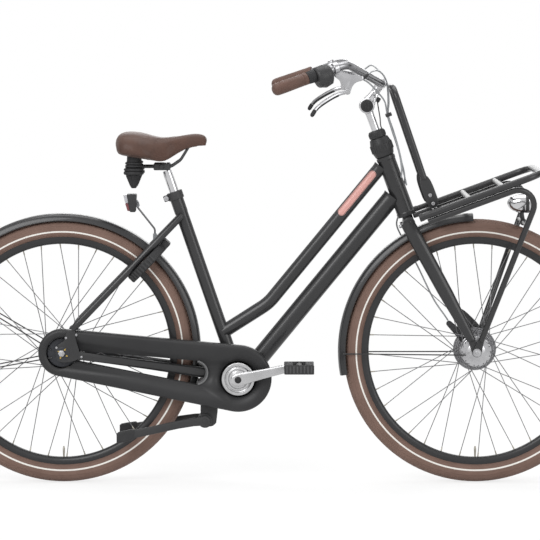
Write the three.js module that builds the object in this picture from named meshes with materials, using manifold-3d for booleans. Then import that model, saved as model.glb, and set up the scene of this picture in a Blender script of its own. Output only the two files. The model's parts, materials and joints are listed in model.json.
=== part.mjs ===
// Step-through town bicycle with a front carrier, standing on its wheels.
// Lengths are in millimetres: x runs forward, y to the rider's left and z up.
// The origin lies on the ground, midway between the rearmost and foremost points.

import * as THREE from 'three';
import { mergeVertices } from 'three/addons/utils/BufferGeometryUtils.js';
import Module from 'manifold-3d';

const wasm = await Module();
wasm.setup();

const degree = Math.PI / 180;

// Clearances that every sub-part shares
const seat_gap = 0.3;
const turn_gap = 0.9;
const overrun = 20;

// Wheels, tyres and rims
const wheel_radius = 362;
const tyre_width = 50;
const tyre_height = 48.5;
const tyre_wall = 4;
const bead_toe_rise = 1.7;
const rim_depth = 19.5;
const rim_well_depth = 9.5;
const rim_lip_width = 25;
const rim_lip_wall = 4;
const rim_foot_width = 16;
const wheel_steps = 32;

// Spokes and hubs
const spoke_radius = 1;
const spoke_rim_offset = 2;
const spokes_per_side = 18;
const spoke_crossings = 3;
const flange_spacing = 56;
const flange_thickness = 3;
const flange_rim = 3.7;
const rear_flange_radius = 50;
const front_flange_radius = 42;
const hub_barrel_radius = 30;
const hub_boss_radius = 24;
const hub_length = 68;
const hub_steps = 12;
const axle_radius = 5;
const axle_nut_radius = 9;
const axle_nut_length = 8;
const axle_tip = 3;

// Roller brakes on the left of both hubs
const brake_body_radius = 34;
const brake_disc_thickness = 3;
const rear_brake_disc_radius = 54;
const front_brake_disc_radius = 59.5;
const rear_brake_length = 22;
const front_brake_length = 10;
const brake_arm_width = 16;
const brake_arm_thickness = 4;
const rear_brake_arm_length = 150;
const front_brake_arm_length = 100;

// Head tube, steerer and the lock housing on top
const head_tilt = 20.2 * degree;
const head_tube_length = 173;
const head_tube_radius = 25;
const head_tube_wall = 2;
const head_cup_depth = 12;
const steerer_radius = 14.3;
const lock_housing_radius = 30;
const lock_housing_foot_radius = 25.5;
const lock_housing_height = 53;
const lock_housing_taper = 14;
const lock_nut_radius = 23;
const lock_nut_height = 22;

// Main frame tubes
const tyre_room = 118;
const bracket_reach = wheel_radius + tyre_room;
const toe_room = 289;
const front_centre_reach = wheel_radius + toe_room;
const wheelbase = bracket_reach + front_centre_reach;
const bracket_drop = 71;
const bracket_height = wheel_radius - bracket_drop;
const bracket_shell_radius = 22;
const bracket_shell_width = 70;
const bracket_shell_wall = 3;
const bracket_cup_depth = 12;
const seat_tilt = 19 * degree;
const seat_tube_length = 537;
const seat_tube_radius = 17.5;
const seat_tube_wall = 2;
const seat_sleeve_length = 60;
const down_tube_radius = 25;
const down_tube_wall = 2;
const down_tube_joint = 73.9;
const down_tube_lead = 16.2;
const down_tube_stop = 12;
const top_tube_radius = 18.7;
const top_tube_wall = 2;
const top_tube_joint = 162.6;
const top_tube_upper_length = 508;
const top_tube_foot = 129;
const top_tube_bend_radius = 130;

// Rear stays and dropouts
const dropout_thickness = 5;
const dropout_inner_y = 66.5;
const dropout_length = 66;
const dropout_height = 92;
const dropout_outline_shares = [
  [-0.27, 0.1], [-0.21, -0.23], [0.15, -0.29], [0.72, -0.2], [0.72, 0.1],
  [0.58, 0.4], [0.55, 0.69], [0.2, 0.69], [0.12, 0.36], [-0.15, 0.26],
];
const seat_stay_radius = 9.7;
const seat_stay_drop = 67;
const seat_stay_joint = seat_tube_length - seat_stay_drop;
const seat_stay_spread = 18;
const seat_stay_shoulder_spread = 43;
const stay_bridge_gap = 10.84;
const seat_stay_foot_x = 28;
const seat_stay_bend_radius = 120;
const seat_stay_sides = 10;
const bridge_sides = 8;
const stay_bridge_radius = 8;
const chainstay_front_y = 30;
const chainstay_front_height = 34;
const chainstay_rear_height = 22;
const chainstay_front_width = 11;
const chainstay_waist_width = 12;
const chainstay_waist_y = 35.5;
const chainstay_bow_y = 58;
const chainstay_bridge_gap = 26;

// Mudguards
const mudguard_gap = 16;
const mudguard_radius = wheel_radius + mudguard_gap;
const chainstay_bridge_x = mudguard_radius + chainstay_bridge_gap;
const mudguard_width = 56;
const mudguard_depth = 19;
const mudguard_thickness = 1.5;
const mudguard_stem_radius = 7;
const mudguard_bolt_head = 2.5;
const rear_mudguard_from = -18 * degree;
const rear_mudguard_to = 200 * degree;
const front_mudguard_from = 91.5 * degree;
const front_mudguard_to = 190.3 * degree;

// Chain, chain case and crank set
const chain_pitch = 12.7;
const chain_plate_height = 8.4;
const chain_plate_thickness = 1.4;
const chain_line = 46;
const chain_plate_gap = 4.2;
const chain_roller_radius = 3.6;
const chain_roller_spacing = 76.2;
const chainring_teeth = 36;
const sprocket_teeth = 18;
const tooth_plate_thickness = 2.4;
const tooth_height = 3.2;
const tooth_root_depth = 3.6;
const sprocket_boss_radius = 20;
const case_inner_y = 39;
const case_outer_y = 66;
const case_rear_radius = 65;
const case_front_radius = 91.6;
const case_wall = 2;
const case_rim_wall = 3.2;
const case_edge = 5;
const case_rear_opening_radius = 42;
const case_crank_opening_radius = 50;
const case_bracket_opening_radius = 25;
const case_slot_rear_x = 45;
const case_slot_rear_drop = 8;
const case_slot_rear_radius = 15;
const case_slot_front_gap = 113;
const case_slot_front_rise = 17;
const case_slot_front_radius = 33;
const crank_length = 170;
const crank_angle = 13.2 * degree;
const crank_boss_radius = 17;
const crank_arm_root_radius = 15;
const crank_arm_tip_radius = 12.5;
const crank_arm_thickness = 13;
const crank_outer_y = 91;
const crank_disc_radius = 45;
const crank_disc_thickness = 3.5;
const crank_axle_radius = 8;
const crank_axle_end_radius = 6.6;
const crank_axle_end_length = 22;
const pedal_spindle_radius = 5;
const pedal_spindle_length = 90;
const pedal_gap = 4;
const pedal_length = 80;
const pedal_width = 95;
const pedal_height = 27;
const pedal_block_length = 24;
const pedal_plate_thickness = 5;
const pedal_barrel_radius = 11;

// Centre stand
const stand_pivot_gap = 91;
const stand_pivot_drop = 119;
const stand_pivot_x = bracket_reach - stand_pivot_gap;
const stand_pivot_z = bracket_height - stand_pivot_drop;
const stand_barrel_radius = 20;
const stand_barrel_width = 66;
const stand_pin_radius = 6;
const stand_hub_radius = 15;
const stand_hub_width = 14;
const stand_leg_height = 24;
const stand_leg_width = 11;
const stand_leg_reach = 240;
const stand_leg_drop = 40;
const stand_foot_spread = 90;
const stand_foot_height = 32;
const stand_foot_width = 17;
const stand_foot_length = 46;
const stand_plate_length = 40;
const stand_plate_thickness = 6;
const stand_plate_width = 78;
const stand_block_width = 52;
const stand_block_lead = 34;

// Ring lock on the seat stays
const lock_ring_reach = 333;
const lock_ring_inner_radius = 50;
const lock_ring_outer_radius = 74;
const lock_ring_thickness = 24;
const lock_bolt_arc_radius = 60;
const lock_bolt_radius = 4;
const lock_channel_radius = 5.2;
const lock_gap_angle = 34.5 * degree;
const lock_bolt_span = 104 * degree;
const lock_bolt_travel = 80 * degree;
const lock_channel_spare = 3 * degree;

// Rear lamp
const rear_lamp_setback = 68.2;
const rear_lamp_rise = 110.1;
const rear_lamp_depth = 36;
const rear_lamp_width = 46;
const rear_lamp_height = 50;
const rear_lamp_taper = 8;
const rear_lamp_rod_radius = 3;
const rear_lamp_rod_drop = 72;

// Seat post, clamp and saddle
const seat_post_radius = 12.7;
const seat_post_wall = 2;
const seat_post_insert = 110;
const seat_post_show = 73;
const saddle_pivot_joint = seat_tube_length + seat_post_show;
const saddle_head_radius = 10;
const saddle_head_width = 24;
const saddle_pin_radius = 4;
const saddle_clamp_length = 46;
const saddle_clamp_height = 20;
const saddle_clamp_width = 10;
const seat_clamp_radius = 21.5;
const seat_clamp_height = 22;
const seat_clamp_ear_reach = 34;
const seat_clamp_ear_width = 20;
const seat_clamp_bolt_radius = 7.5;
const seat_clamp_bolt_length = 30;
const rail_radius = 3.5;
const rail_spread = 25;
const rail_nose_spread = 9;
const rail_drop = 3;
const rail_back_reach = 72;
const rail_front_reach = 10;
const rail_rise_reach = 37;
const rail_rise = 14;
const rail_nose_reach = 71;
const rail_nose_rise = 62;
const nose_block_length = 12;
const nose_block_height = 9;
const bellows_reach = 85;
const bellows_spread = 40;
const bellows_top_rise = 72;
const bellows_neck_radius = 10;
const bellows_neck_rise = 24;
const bellows_rib_radius = 28;
const bellows_rib_depth = 4.5;
const bellows_rib_pitch = 8;
const bellows_rib_count = 3;
const bellows_rib_rise = 18;
const bellows_cone_length = 40;
const bellows_tip_radius = 7;
const saddle_length = 259;
const saddle_width = 200;
const saddle_height = 85;
const saddle_rear_overhang = 141.4;
const saddle_base_rise = 12.23;
// Each station: place along the length, half width, top and bottom, as shares
const saddle_station_shares = [
  [0, 0.14, 0.6, 0.42], [0.03, 0.34, 0.82, 0.29], [0.085, 0.45, 0.95, 0.235],
  [0.18, 0.5, 0.99, 0.2], [0.29, 0.5, 0.94, 0.15], [0.405, 0.44, 0.835, 0.08],
  [0.5, 0.34, 0.775, 0.01], [0.58, 0.26, 0.78, 0.07], [0.675, 0.19, 0.835, 0.27],
  [0.77, 0.15, 0.915, 0.42], [0.87, 0.135, 0.975, 0.5], [0.95, 0.115, 0.93, 0.55],
  [0.985, 0.08, 0.82, 0.57], [1, 0.035, 0.7, 0.61],
];
const saddle_hollow_share = 0.5;

// Fork
const fork_offset = 50.2;
const crown_clearance = 51.8;
const fork_length = wheel_radius + crown_clearance;
const crown_radius = 17;
const crown_drop = 20;
const crown_half_width = 44;
const blade_setback = 8.4;
const blade_rake_share = 0.15;
const blade_top_depth = 41;
const blade_top_width = 26;
const blade_top_drop = 14;
const blade_bottom_drop = 380;
const blade_bottom_depth = 24;
const blade_bottom_width = 14;
const blade_bottom_y = 56;
const fork_tip_inner_y = 50.3;
const fork_tip_thickness = 4.7;
const fork_tip_radius = 13;
const fork_tip_top_radius = 9;

// Stem and handlebar, measured from the stem's pivot
const stem_pivot_height = 319.7;
const quill_radius = 11;
const quill_insert = 130;
const quill_head_radius = 17;
const quill_head_width = 18;
const stem_pivot_radius = 21;
const stem_pin_radius = 5;
const stem_cheek_width = 11;
const stem_arm_width = 30;
const stem_arm_depth = 24;
const stem_clamp_reach = 38;
const stem_clamp_rise = 61;
const stem_clamp_radius = 14.5;
const stem_clamp_width = 42;
const bar_radius = 11;
const bar_wall = 2;
const bar_straight_half = 28;
const bar_shoulder_reach = -60;
const bar_shoulder_y = 217;
const bar_shoulder_rise = 117;
const bar_end_reach = -252.8;
const bar_end_y = 290;
const bar_end_rise = 49;
const bar_bend_radius = 25;
const bar_sides = 10;
const grip_radius = 16.5;
const grip_right_length = 98;
const grip_left_length = 122;
const grip_cap = 4;
const twist_length = 23;
const twist_radius = 17.5;
const twist_end_radius = 15.8;
const shifter_radius = 29;
const shifter_length = 46;
const shifter_sag = 8;
const brake_ring_radius = 15.5;
const brake_ring_length = 14;
const brake_ring_place = 183;
const bracket_plate_thickness = 15;
const bracket_plate_y = 225;
const bracket_plate_length = 86;
const bracket_plate_height = 66;
const bracket_plate_tail = -100;
const bracket_plate_foot = 36;
const bracket_plate_shares = [
  [0, 0.95], [0.16, 1], [0.92, 0.74], [1, 0.58], [0.62, 0.46],
  [0.55, 0.02], [0.4, 0.02], [0.08, 0.66],
];
const lever_pivot_reach = -58;
const lever_pivot_rise = 44;
const lever_eye_radius = 8;
const lever_pin_radius = 3;
const lever_thickness = 8;
const lever_blade_height = 12;
const lever_run = 95;
const lever_fall = 61;
const lever_flare = 50;
const lever_route_shares = [[0.26, 0.1, 0.14], [0.6, 0.38, 0.5], [0.86, 0.68, 0.85], [1, 1, 1]];

// Front carrier, square to the steering axis
const carrier_rail_radius = 9.5;
const carrier_rail_y = 170;
const carrier_rail_level = -6;
const carrier_rear_reach = 31;
const carrier_front_reach = 374;
const carrier_corner_radius = 45;
const carrier_cross_radius = 8;
const carrier_cross_reaches = [76, 170.8, 265.4];
const carrier_neck_width = 30;
const carrier_neck_height = 14;
const carrier_tube_bore_share = 0.8;
const strut_radius = 8;
const strut_corner_reach = 379;
const strut_corner_radius = 45;
const strut_rear_reach = 45;
const strut_foot_lead = 22;
const strut_foot_rise = 27;
const strut_foot_y = 64;
const strut_eye_radius = 12.6;
const strut_eye_thickness = 5;
const strut_bar_radius = 6;
const strut_bar_drop = 126;
const back_loop_radius = 8.5;
const back_loop_reach = 76;
const back_loop_lean = 6;
const back_loop_y = 105;
const back_loop_top = 345;
const back_loop_corner_radius = 38;
const back_plate_width = 33;
const back_plate_thickness = 6;
const back_plate_height = 92;

// Headlamp under the front carrier
const headlamp_reach = 305;
const headlamp_level = -76;
const headlamp_radius = 27.5;
const headlamp_length = 76;
const headlamp_tail_radius = 6;
const headlamp_stem_radius = 6;

// Brake and gear cables
const cable_radius = 2.2;
const cable_steps = 16;

const v = (x, y, z) => new THREE.Vector3(x, y, z);
const along = (start, direction, distance) => start.clone().addScaledVector(direction, distance);
const clear_radius = (radius, sides) => (radius + seat_gap) / Math.cos(Math.PI / sides);

// A path through chosen points, cut at those points alone
class PointPath extends THREE.Curve {
  constructor(points) {
    super();
    this.points = points;
  }

  getPointAt(share, target = v(0, 0, 0)) {
    return target.copy(this.points[Math.round(share * (this.points.length - 1))]);
  }

  getTangentAt(share, target = v(0, 0, 0)) {
    const last = this.points.length - 1;
    const here = Math.round(share * last);
    target.set(0, 0, 0);
    if (here > 0) target.add(this.points[here].clone().sub(this.points[here - 1]).normalize());
    if (here < last) target.add(this.points[here + 1].clone().sub(this.points[here]).normalize());
    return target.normalize();
  }

  // Sections keep one side square to y, or to z or x where the path runs along y
  computeFrenetFrames(steps) {
    const tangents = [];
    for (let step = 0; step <= steps; step += 1) tangents.push(this.getTangentAt(step / steps));
    const lean = (axis) => Math.max(...tangents.map((tangent) => Math.abs(tangent.dot(axis))));
    const axes = [v(0, 1, 0), v(0, 0, 1), v(1, 0, 0)];
    const least = axes.slice().sort((one, other) => lean(one) - lean(other))[0];
    const side = axes.find((axis) => lean(axis) < 0.9) ?? least;
    const normals = tangents.map((tangent) => (
      side.clone().addScaledVector(tangent, -side.dot(tangent)).normalize().negate()
    ));
    const binormals = tangents.map((tangent, step) => tangent.clone().cross(normals[step]));
    return { tangents, normals, binormals };
  }
}

// Straight runs joined by round bends of one radius
function bent_points(corners, radius, steps = 4) {
  const points = [corners[0]];
  for (let index = 1; index < corners.length - 1; index += 1) {
    const corner = corners[index];
    const before = corner.clone().sub(corners[index - 1]).normalize();
    const after = corners[index + 1].clone().sub(corner).normalize();
    const turn = before.angleTo(after);
    const inward = after.clone().addScaledVector(before, -after.dot(before)).normalize();
    const start = along(corner, before, -radius * Math.tan(turn / 2));
    const centre = along(start, inward, radius);
    for (let step = 0; step <= steps; step += 1) {
      const swing = (turn * step) / steps;
      const point = along(centre, inward, -radius * Math.cos(swing));
      points.push(point.addScaledVector(before, radius * Math.sin(swing)));
    }
  }
  points.push(corners[corners.length - 1]);
  return points;
}

function ring_points(radius, sides, start = 0) {
  const points = [];
  for (let index = 0; index < sides; index += 1) {
    const turn = start + (2 * Math.PI * index) / sides;
    points.push(new THREE.Vector2(radius * Math.cos(turn), radius * Math.sin(turn)));
  }
  return points;
}

function round_shape(radius, sides, bore = 0, bore_sides = sides) {
  const shape = new THREE.Shape(ring_points(radius, sides));
  if (bore > 0) shape.holes.push(new THREE.Path(ring_points(bore, bore_sides)));
  return shape;
}

function box_shape(width, height) {
  const shape = new THREE.Shape();
  shape.moveTo(-width / 2, -height / 2);
  shape.lineTo(width / 2, -height / 2);
  shape.lineTo(width / 2, height / 2);
  shape.lineTo(-width / 2, height / 2);
  return shape;
}

// Two circles and the two lines that touch both, drawn anticlockwise
function belt_shape(rear, rear_radius, front, front_radius, steps = 12) {
  const across = Math.atan2(front.z - rear.z, front.x - rear.x);
  const spread = Math.acos((rear_radius - front_radius) / rear.distanceTo(front));
  const points = [];
  const arc = (centre, radius, from, to) => {
    for (let step = 0; step <= steps; step += 1) {
      const turn = from + ((to - from) * step) / steps;
      points.push(new THREE.Vector2(centre.x + radius * Math.cos(turn), centre.z + radius * Math.sin(turn)));
    }
  };
  arc(rear, rear_radius, across + spread, across - spread + 2 * Math.PI);
  arc(front, front_radius, across - spread, across + spread);
  return new THREE.Shape(points);
}

function sweep(points, shape) {
  return new THREE.ExtrudeGeometry(shape, {
    steps: points.length - 1,
    curveSegments: 8,
    extrudePath: new PointPath(points),
  });
}

const rod = (from, to, radius, sides = 12) => sweep([from, to], round_shape(radius, sides));
const cross_rod = (x, z, half_width, radius, sides = 12) => (
  rod(v(x, -half_width, z), v(x, half_width, z), radius, sides)
);

// A flat outline in x and z, given a thickness along y
function plate(shape, from_y, thickness, options = {}) {
  const geometry = new THREE.ExtrudeGeometry(shape, {
    depth: thickness, bevelEnabled: false, curveSegments: 8, ...options,
  });
  return geometry.rotateX(Math.PI / 2).translate(0, from_y + thickness, 0);
}

function block(from, to) {
  const size = to.clone().sub(from);
  const middle = from.clone().add(to).multiplyScalar(1 / 2);
  return new THREE.BoxGeometry(size.x, size.y, size.z).translate(middle.x, middle.y, middle.z);
}

// A profile of radius and place, turned about the y axis
function turned(profile, steps) {
  const points = profile.map(([radius, place]) => new THREE.Vector2(radius, place));
  if (points[0].x > 0) points.push(points[0].clone());
  return new THREE.LatheGeometry(points, steps);
}

const turned_upright = (profile, steps) => turned(profile, steps).rotateX(Math.PI / 2);

function aimed(geometry, place, direction) {
  const swing = new THREE.Quaternion().setFromUnitVectors(v(0, 0, 1), direction);
  return geometry.applyQuaternion(swing).translate(place.x, place.y, place.z);
}

// A skin over rings of equal point count, closed by a fan at each end
function loft(rings) {
  const count = rings[0].length;
  const places = [];
  const faces = [];
  rings.forEach((ring) => ring.forEach((point) => places.push(point.x, point.y, point.z)));
  for (let ring = 0; ring + 1 < rings.length; ring += 1) {
    for (let index = 0; index < count; index += 1) {
      const next = (index + 1) % count;
      const here = ring * count;
      faces.push(here + index, here + next, here + count + next);
      faces.push(here + index, here + count + next, here + count + index);
    }
  }
  [0, rings.length - 1].forEach((ring, end) => {
    const flat = rings[ring].map((point) => new THREE.Vector2(point.y, Math.abs(point.z) + point.x));
    const turned_back = (end === 0) === (THREE.ShapeUtils.area(flat) > 0);
    THREE.ShapeUtils.triangulateShape(flat, []).forEach((face) => {
      const [a, b, c] = face.map((index) => ring * count + index);
      faces.push(...(turned_back ? [a, c, b] : [a, b, c]));
    });
  });
  const geometry = new THREE.BufferGeometry();
  geometry.setAttribute('position', new THREE.Float32BufferAttribute(places, 3));
  geometry.setIndex(faces);
  return geometry;
}

// Shared corners and faces that point out
function tidy(geometry) {
  const bare = geometry.clone();
  bare.deleteAttribute('normal');
  bare.deleteAttribute('uv');
  const merged = mergeVertices(bare);
  const place = merged.attributes.position;
  const faces = Array.from(merged.index.array);
  const corner = (index) => new THREE.Vector3().fromBufferAttribute(place, faces[index]);
  let volume = 0;
  for (let index = 0; index < faces.length; index += 3) {
    volume += corner(index).dot(corner(index + 1).cross(corner(index + 2)));
  }
  if (volume < 0) faces.reverse();
  merged.setIndex(faces);
  return merged;
}

function solid(geometry) {
  const clean = tidy(geometry);
  return new wasm.Manifold(new wasm.Mesh({
    numProp: 3,
    vertProperties: new Float32Array(clean.attributes.position.array),
    triVerts: new Uint32Array(clean.index.array),
  }));
}

function shaped(body) {
  const mesh = body.getMesh();
  const geometry = new THREE.BufferGeometry();
  geometry.setAttribute('position', new THREE.BufferAttribute(mesh.vertProperties, 3));
  geometry.setIndex(new THREE.BufferAttribute(mesh.triVerts, 1));
  return geometry;
}

const join = (...pieces) => shaped(pieces.map(solid).reduce((whole, piece) => whole.add(piece)));
const cut = (piece, ...tools) => (
  shaped(tools.map(solid).reduce((whole, tool) => whole.subtract(tool), solid(piece)))
);
const mirrored = (geometry) => geometry.clone().scale(1, -1, 1);

// Finishes
const finish = (colour, roughness, metalness) => ({ colour, roughness, metalness });
const black_paint = finish(0x3a3b3c, 0.6, 0.2);
const black_plastic = finish(0x222324, 0.65, 0);
const black_rubber = finish(0x1b1b1b, 0.85, 0);
const brown_tyre = finish(0x6b5046, 0.85, 0);
const brown_leather = finish(0x6d4c3d, 0.6, 0);
const bright_metal = finish(0xc9cacb, 0.3, 0.9);
const dark_steel = finish(0x55575a, 0.45, 0.8);
const grey_cable = finish(0x8f9294, 0.6, 0);
const lamp_red = finish(0x8c2b2b, 0.3, 0);

function add(group, name, geometry, look) {
  const material = new THREE.MeshStandardMaterial({
    color: look.colour, roughness: look.roughness, metalness: look.metalness,
  });
  const mesh = new THREE.Mesh(tidy(geometry), material);
  mesh.name = name;
  group.add(mesh);
}

// Places that several sub-parts share, from the rear axle's foot on the ground
const rear_axle = v(0, 0, wheel_radius);
const front_axle = v(wheelbase, 0, wheel_radius);
const head_up = v(-Math.sin(head_tilt), 0, Math.cos(head_tilt));
const head_ahead = v(Math.cos(head_tilt), 0, Math.sin(head_tilt));
const head_foot = along(along(front_axle, head_ahead, -fork_offset), head_up, fork_length);
const bracket = v(bracket_reach, 0, bracket_height);
const seat_up = v(-Math.sin(seat_tilt), 0, Math.cos(seat_tilt));
const saddle_pivot = along(bracket, seat_up, saddle_pivot_joint);

const rim_lip_radius = wheel_radius - tyre_height;
const rim_inner_radius = rim_lip_radius - rim_depth;
const rim_bed_radius = rim_lip_radius - rim_well_depth;

function tyre() {
  const half = tyre_width / 2;
  const middle = wheel_radius - half;
  const bead = rim_lip_width / 2 - rim_lip_wall - seat_gap;
  const foot = rim_bed_radius + seat_gap;
  const toe = foot + bead_toe_rise;
  const shoulder = half * Math.SQRT1_2;
  return turned([
    [wheel_radius, 0], [middle + shoulder, shoulder], [middle, half], [rim_lip_radius + seat_gap, bead],
    [foot, bead], [toe, bead - tyre_wall], [middle, half - tyre_wall], [wheel_radius - tyre_wall, 0],
    [middle, tyre_wall - half], [toe, tyre_wall - bead], [foot, -bead],
    [rim_lip_radius + seat_gap, -bead], [middle, -half], [middle + shoulder, -shoulder],
  ], wheel_steps);
}

function rim() {
  const lip = rim_lip_width / 2;
  const foot = rim_foot_width / 2;
  return turned([
    [rim_inner_radius, -foot], [rim_inner_radius, foot], [rim_lip_radius, lip],
    [rim_lip_radius, lip - rim_lip_wall], [rim_bed_radius, lip - rim_lip_wall],
    [rim_bed_radius, rim_lip_wall - lip], [rim_lip_radius, rim_lip_wall - lip], [rim_lip_radius, -lip],
  ], wheel_steps);
}

// One hub flange with its spokes, hooked in from its two faces by turns
function spoked_flange(flange_radius, side) {
  const middle = (side * flange_spacing) / 2;
  const half = flange_thickness / 2;
  const bore = hub_barrel_radius + seat_gap;
  const flange = turned([
    [bore, middle - half], [flange_radius, middle - half],
    [flange_radius, middle + half], [bore, middle + half],
  ], hub_steps);
  const pitch = (2 * Math.PI) / spokes_per_side;
  const first_turn = spoke_gap_angle + (side * pitch) / 4;
  const hole_radius = flange_radius - flange_rim;
  const rim_end = rim_inner_radius * Math.cos(Math.PI / wheel_steps) - seat_gap;
  const place = (radius, turn, y) => v(radius * Math.cos(turn), y, radius * Math.sin(turn));
  const spokes = [];
  for (let index = 0; index < spokes_per_side; index += 1) {
    const turn = first_turn + (index + 1) * pitch;
    const hand = index % 2 === 0 ? 1 : -1;
    const elbow_y = middle + hand * (half + 2 * spoke_radius);
    spokes.push(sweep([
      place(hole_radius, turn, middle), place(hole_radius, turn, elbow_y),
      place(rim_end, turn + hand * spoke_crossings * pitch, side * spoke_rim_offset),
    ], round_shape(spoke_radius, 3)));
  }
  return join(flange, ...spokes);
}

function hub_shell() {
  const bore = axle_radius + turn_gap;
  const end = hub_length / 2;
  const outer = flange_spacing / 2 + flange_thickness / 2 + seat_gap;
  return turned([
    [bore, -end], [hub_boss_radius, -end], [hub_boss_radius, -outer], [hub_barrel_radius, -outer],
    [hub_barrel_radius, outer], [hub_boss_radius, outer], [hub_boss_radius, end], [bore, end],
  ], hub_steps);
}

function add_wheel(group, prefix, flange_radius) {
  add(group, `${prefix}_tyre`, tyre(), brown_tyre);
  add(group, `${prefix}_rim`, rim(), black_paint);
  add(group, `${prefix}_spokes_left`, spoked_flange(flange_radius, 1), bright_metal);
  add(group, `${prefix}_spokes_right`, spoked_flange(flange_radius, -1), bright_metal);
  add(group, `${prefix}_hub_shell`, hub_shell(), bright_metal);
}

// A through axle with a nut outside each dropout
function axle(outer_y) {
  const nut_from = outer_y + seat_gap;
  const nut_to = nut_from + axle_nut_length;
  return join(
    cross_rod(0, 0, nut_to + axle_tip, axle_radius, 12),
    rod(v(0, nut_from, 0), v(0, nut_to, 0), axle_nut_radius, 6),
    rod(v(0, -nut_from, 0), v(0, -nut_to, 0), axle_nut_radius, 6),
  );
}

function roller_brake(disc_radius, length, arm_length, arm_angle) {
  const from = hub_length / 2 + turn_gap;
  const to = from + length;
  const drum = turned([
    [0, from], [brake_body_radius, from], [brake_body_radius, to - brake_disc_thickness],
    [disc_radius, to - brake_disc_thickness], [disc_radius, to], [0, to],
  ], 20);
  const arm_end = v(arm_length * Math.cos(arm_angle), 0, arm_length * Math.sin(arm_angle));
  const outline = belt_shape(v(0, 0, 0), brake_arm_width, arm_end, brake_arm_width / 2, 5);
  const arm_y = from + turn_gap;
  return cut(
    join(drum, plate(outline, arm_y, brake_arm_thickness)),
    cross_rod(0, 0, to + overrun, clear_radius(axle_radius, 12), 12),
  );
}

function head_tube() {
  const bore = head_tube_radius - head_tube_wall;
  const cup = steerer_radius + turn_gap;
  return turned_upright([
    [head_tube_radius, 0], [head_tube_radius, head_tube_length], [cup, head_tube_length],
    [cup, head_tube_length - head_cup_depth], [bore, head_tube_length - head_cup_depth],
    [bore, head_cup_depth], [cup, head_cup_depth], [cup, 0],
  ], 14);
}

// Cutting tools that leave the shared gap around the tubes that others meet
const head_tool = () => rod(
  along(head_foot, head_up, -overrun), along(head_foot, head_up, head_tube_length + overrun),
  clear_radius(head_tube_radius, 14), 14,
);
const seat_tool = () => rod(
  along(bracket, seat_up, -overrun), along(bracket, seat_up, seat_tube_length + overrun),
  clear_radius(seat_tube_radius, 14), 14,
);
const shell_tool = () => cross_rod(
  bracket.x, bracket.z, bracket_shell_width / 2 + overrun, clear_radius(bracket_shell_radius, 16), 16,
);

const down_tube_top = along(head_foot, head_up, down_tube_joint);
const down_tube_aim = along(bracket, v(1, 0, 0), down_tube_lead);
const down_tube_way = down_tube_aim.clone().sub(down_tube_top).normalize();

function down_tube() {
  const end = along(down_tube_aim, down_tube_way, -down_tube_stop);
  const shape = round_shape(down_tube_radius, 14, down_tube_radius - down_tube_wall, 9);
  return cut(sweep([down_tube_top, end], shape), head_tool(), seat_tool(), shell_tool());
}

function top_tube() {
  const top = along(head_foot, head_up, top_tube_joint);
  const bend = along(top, down_tube_way, top_tube_upper_length);
  const foot = along(bracket, seat_up, top_tube_foot);
  const shape = round_shape(top_tube_radius, 12, top_tube_radius - top_tube_wall, 8);
  const route = bent_points([top, bend, foot], top_tube_bend_radius, 4);
  return cut(sweep(route, shape), head_tool(), seat_tool());
}

// The seat tube with the bottom bracket shell that it is brazed to
function seat_tube() {
  const bore = seat_tube_radius - seat_tube_wall;
  const sleeve = seat_post_radius + 2 * seat_gap;
  const sleeve_from = seat_tube_length - seat_sleeve_length;
  const floor = bracket_shell_radius + seat_tube_wall;
  const tube = aimed(turned_upright([
    [0, 0], [seat_tube_radius, 0], [seat_tube_radius, seat_tube_length], [sleeve, seat_tube_length],
    [sleeve, sleeve_from], [bore, sleeve_from], [bore, floor], [0, floor],
  ], 14), bracket, seat_up);
  const half = bracket_shell_width / 2;
  const shell = cross_rod(bracket.x, bracket.z, half, bracket_shell_radius, 16);
  const cup_bore = crank_axle_radius + turn_gap;
  const barrel_bore = bracket_shell_radius - bracket_shell_wall;
  const hollow = turned([
    [0, -half - overrun], [cup_bore, -half - overrun], [cup_bore, bracket_cup_depth - half],
    [barrel_bore, bracket_cup_depth - half], [barrel_bore, half - bracket_cup_depth],
    [cup_bore, half - bracket_cup_depth], [cup_bore, half + overrun], [0, half + overrun],
  ], 12).translate(bracket.x, 0, bracket.z);
  return cut(join(tube, shell), hollow);
}

// An oval ring of points across the x axis
function oval_ring(x, y, z, half_width, half_height) {
  return ring_points(1, 8, Math.PI / 8).map((point) => (
    v(x, y + half_width * point.x, z + half_height * point.y)
  ));
}

const dropout_outer_y = dropout_inner_y + dropout_thickness;
const dropout_mid_y = dropout_inner_y + dropout_thickness / 2;

const chainstay_level = (x) => rear_axle.z + ((bracket.z - rear_axle.z) * x) / bracket.x;

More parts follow.
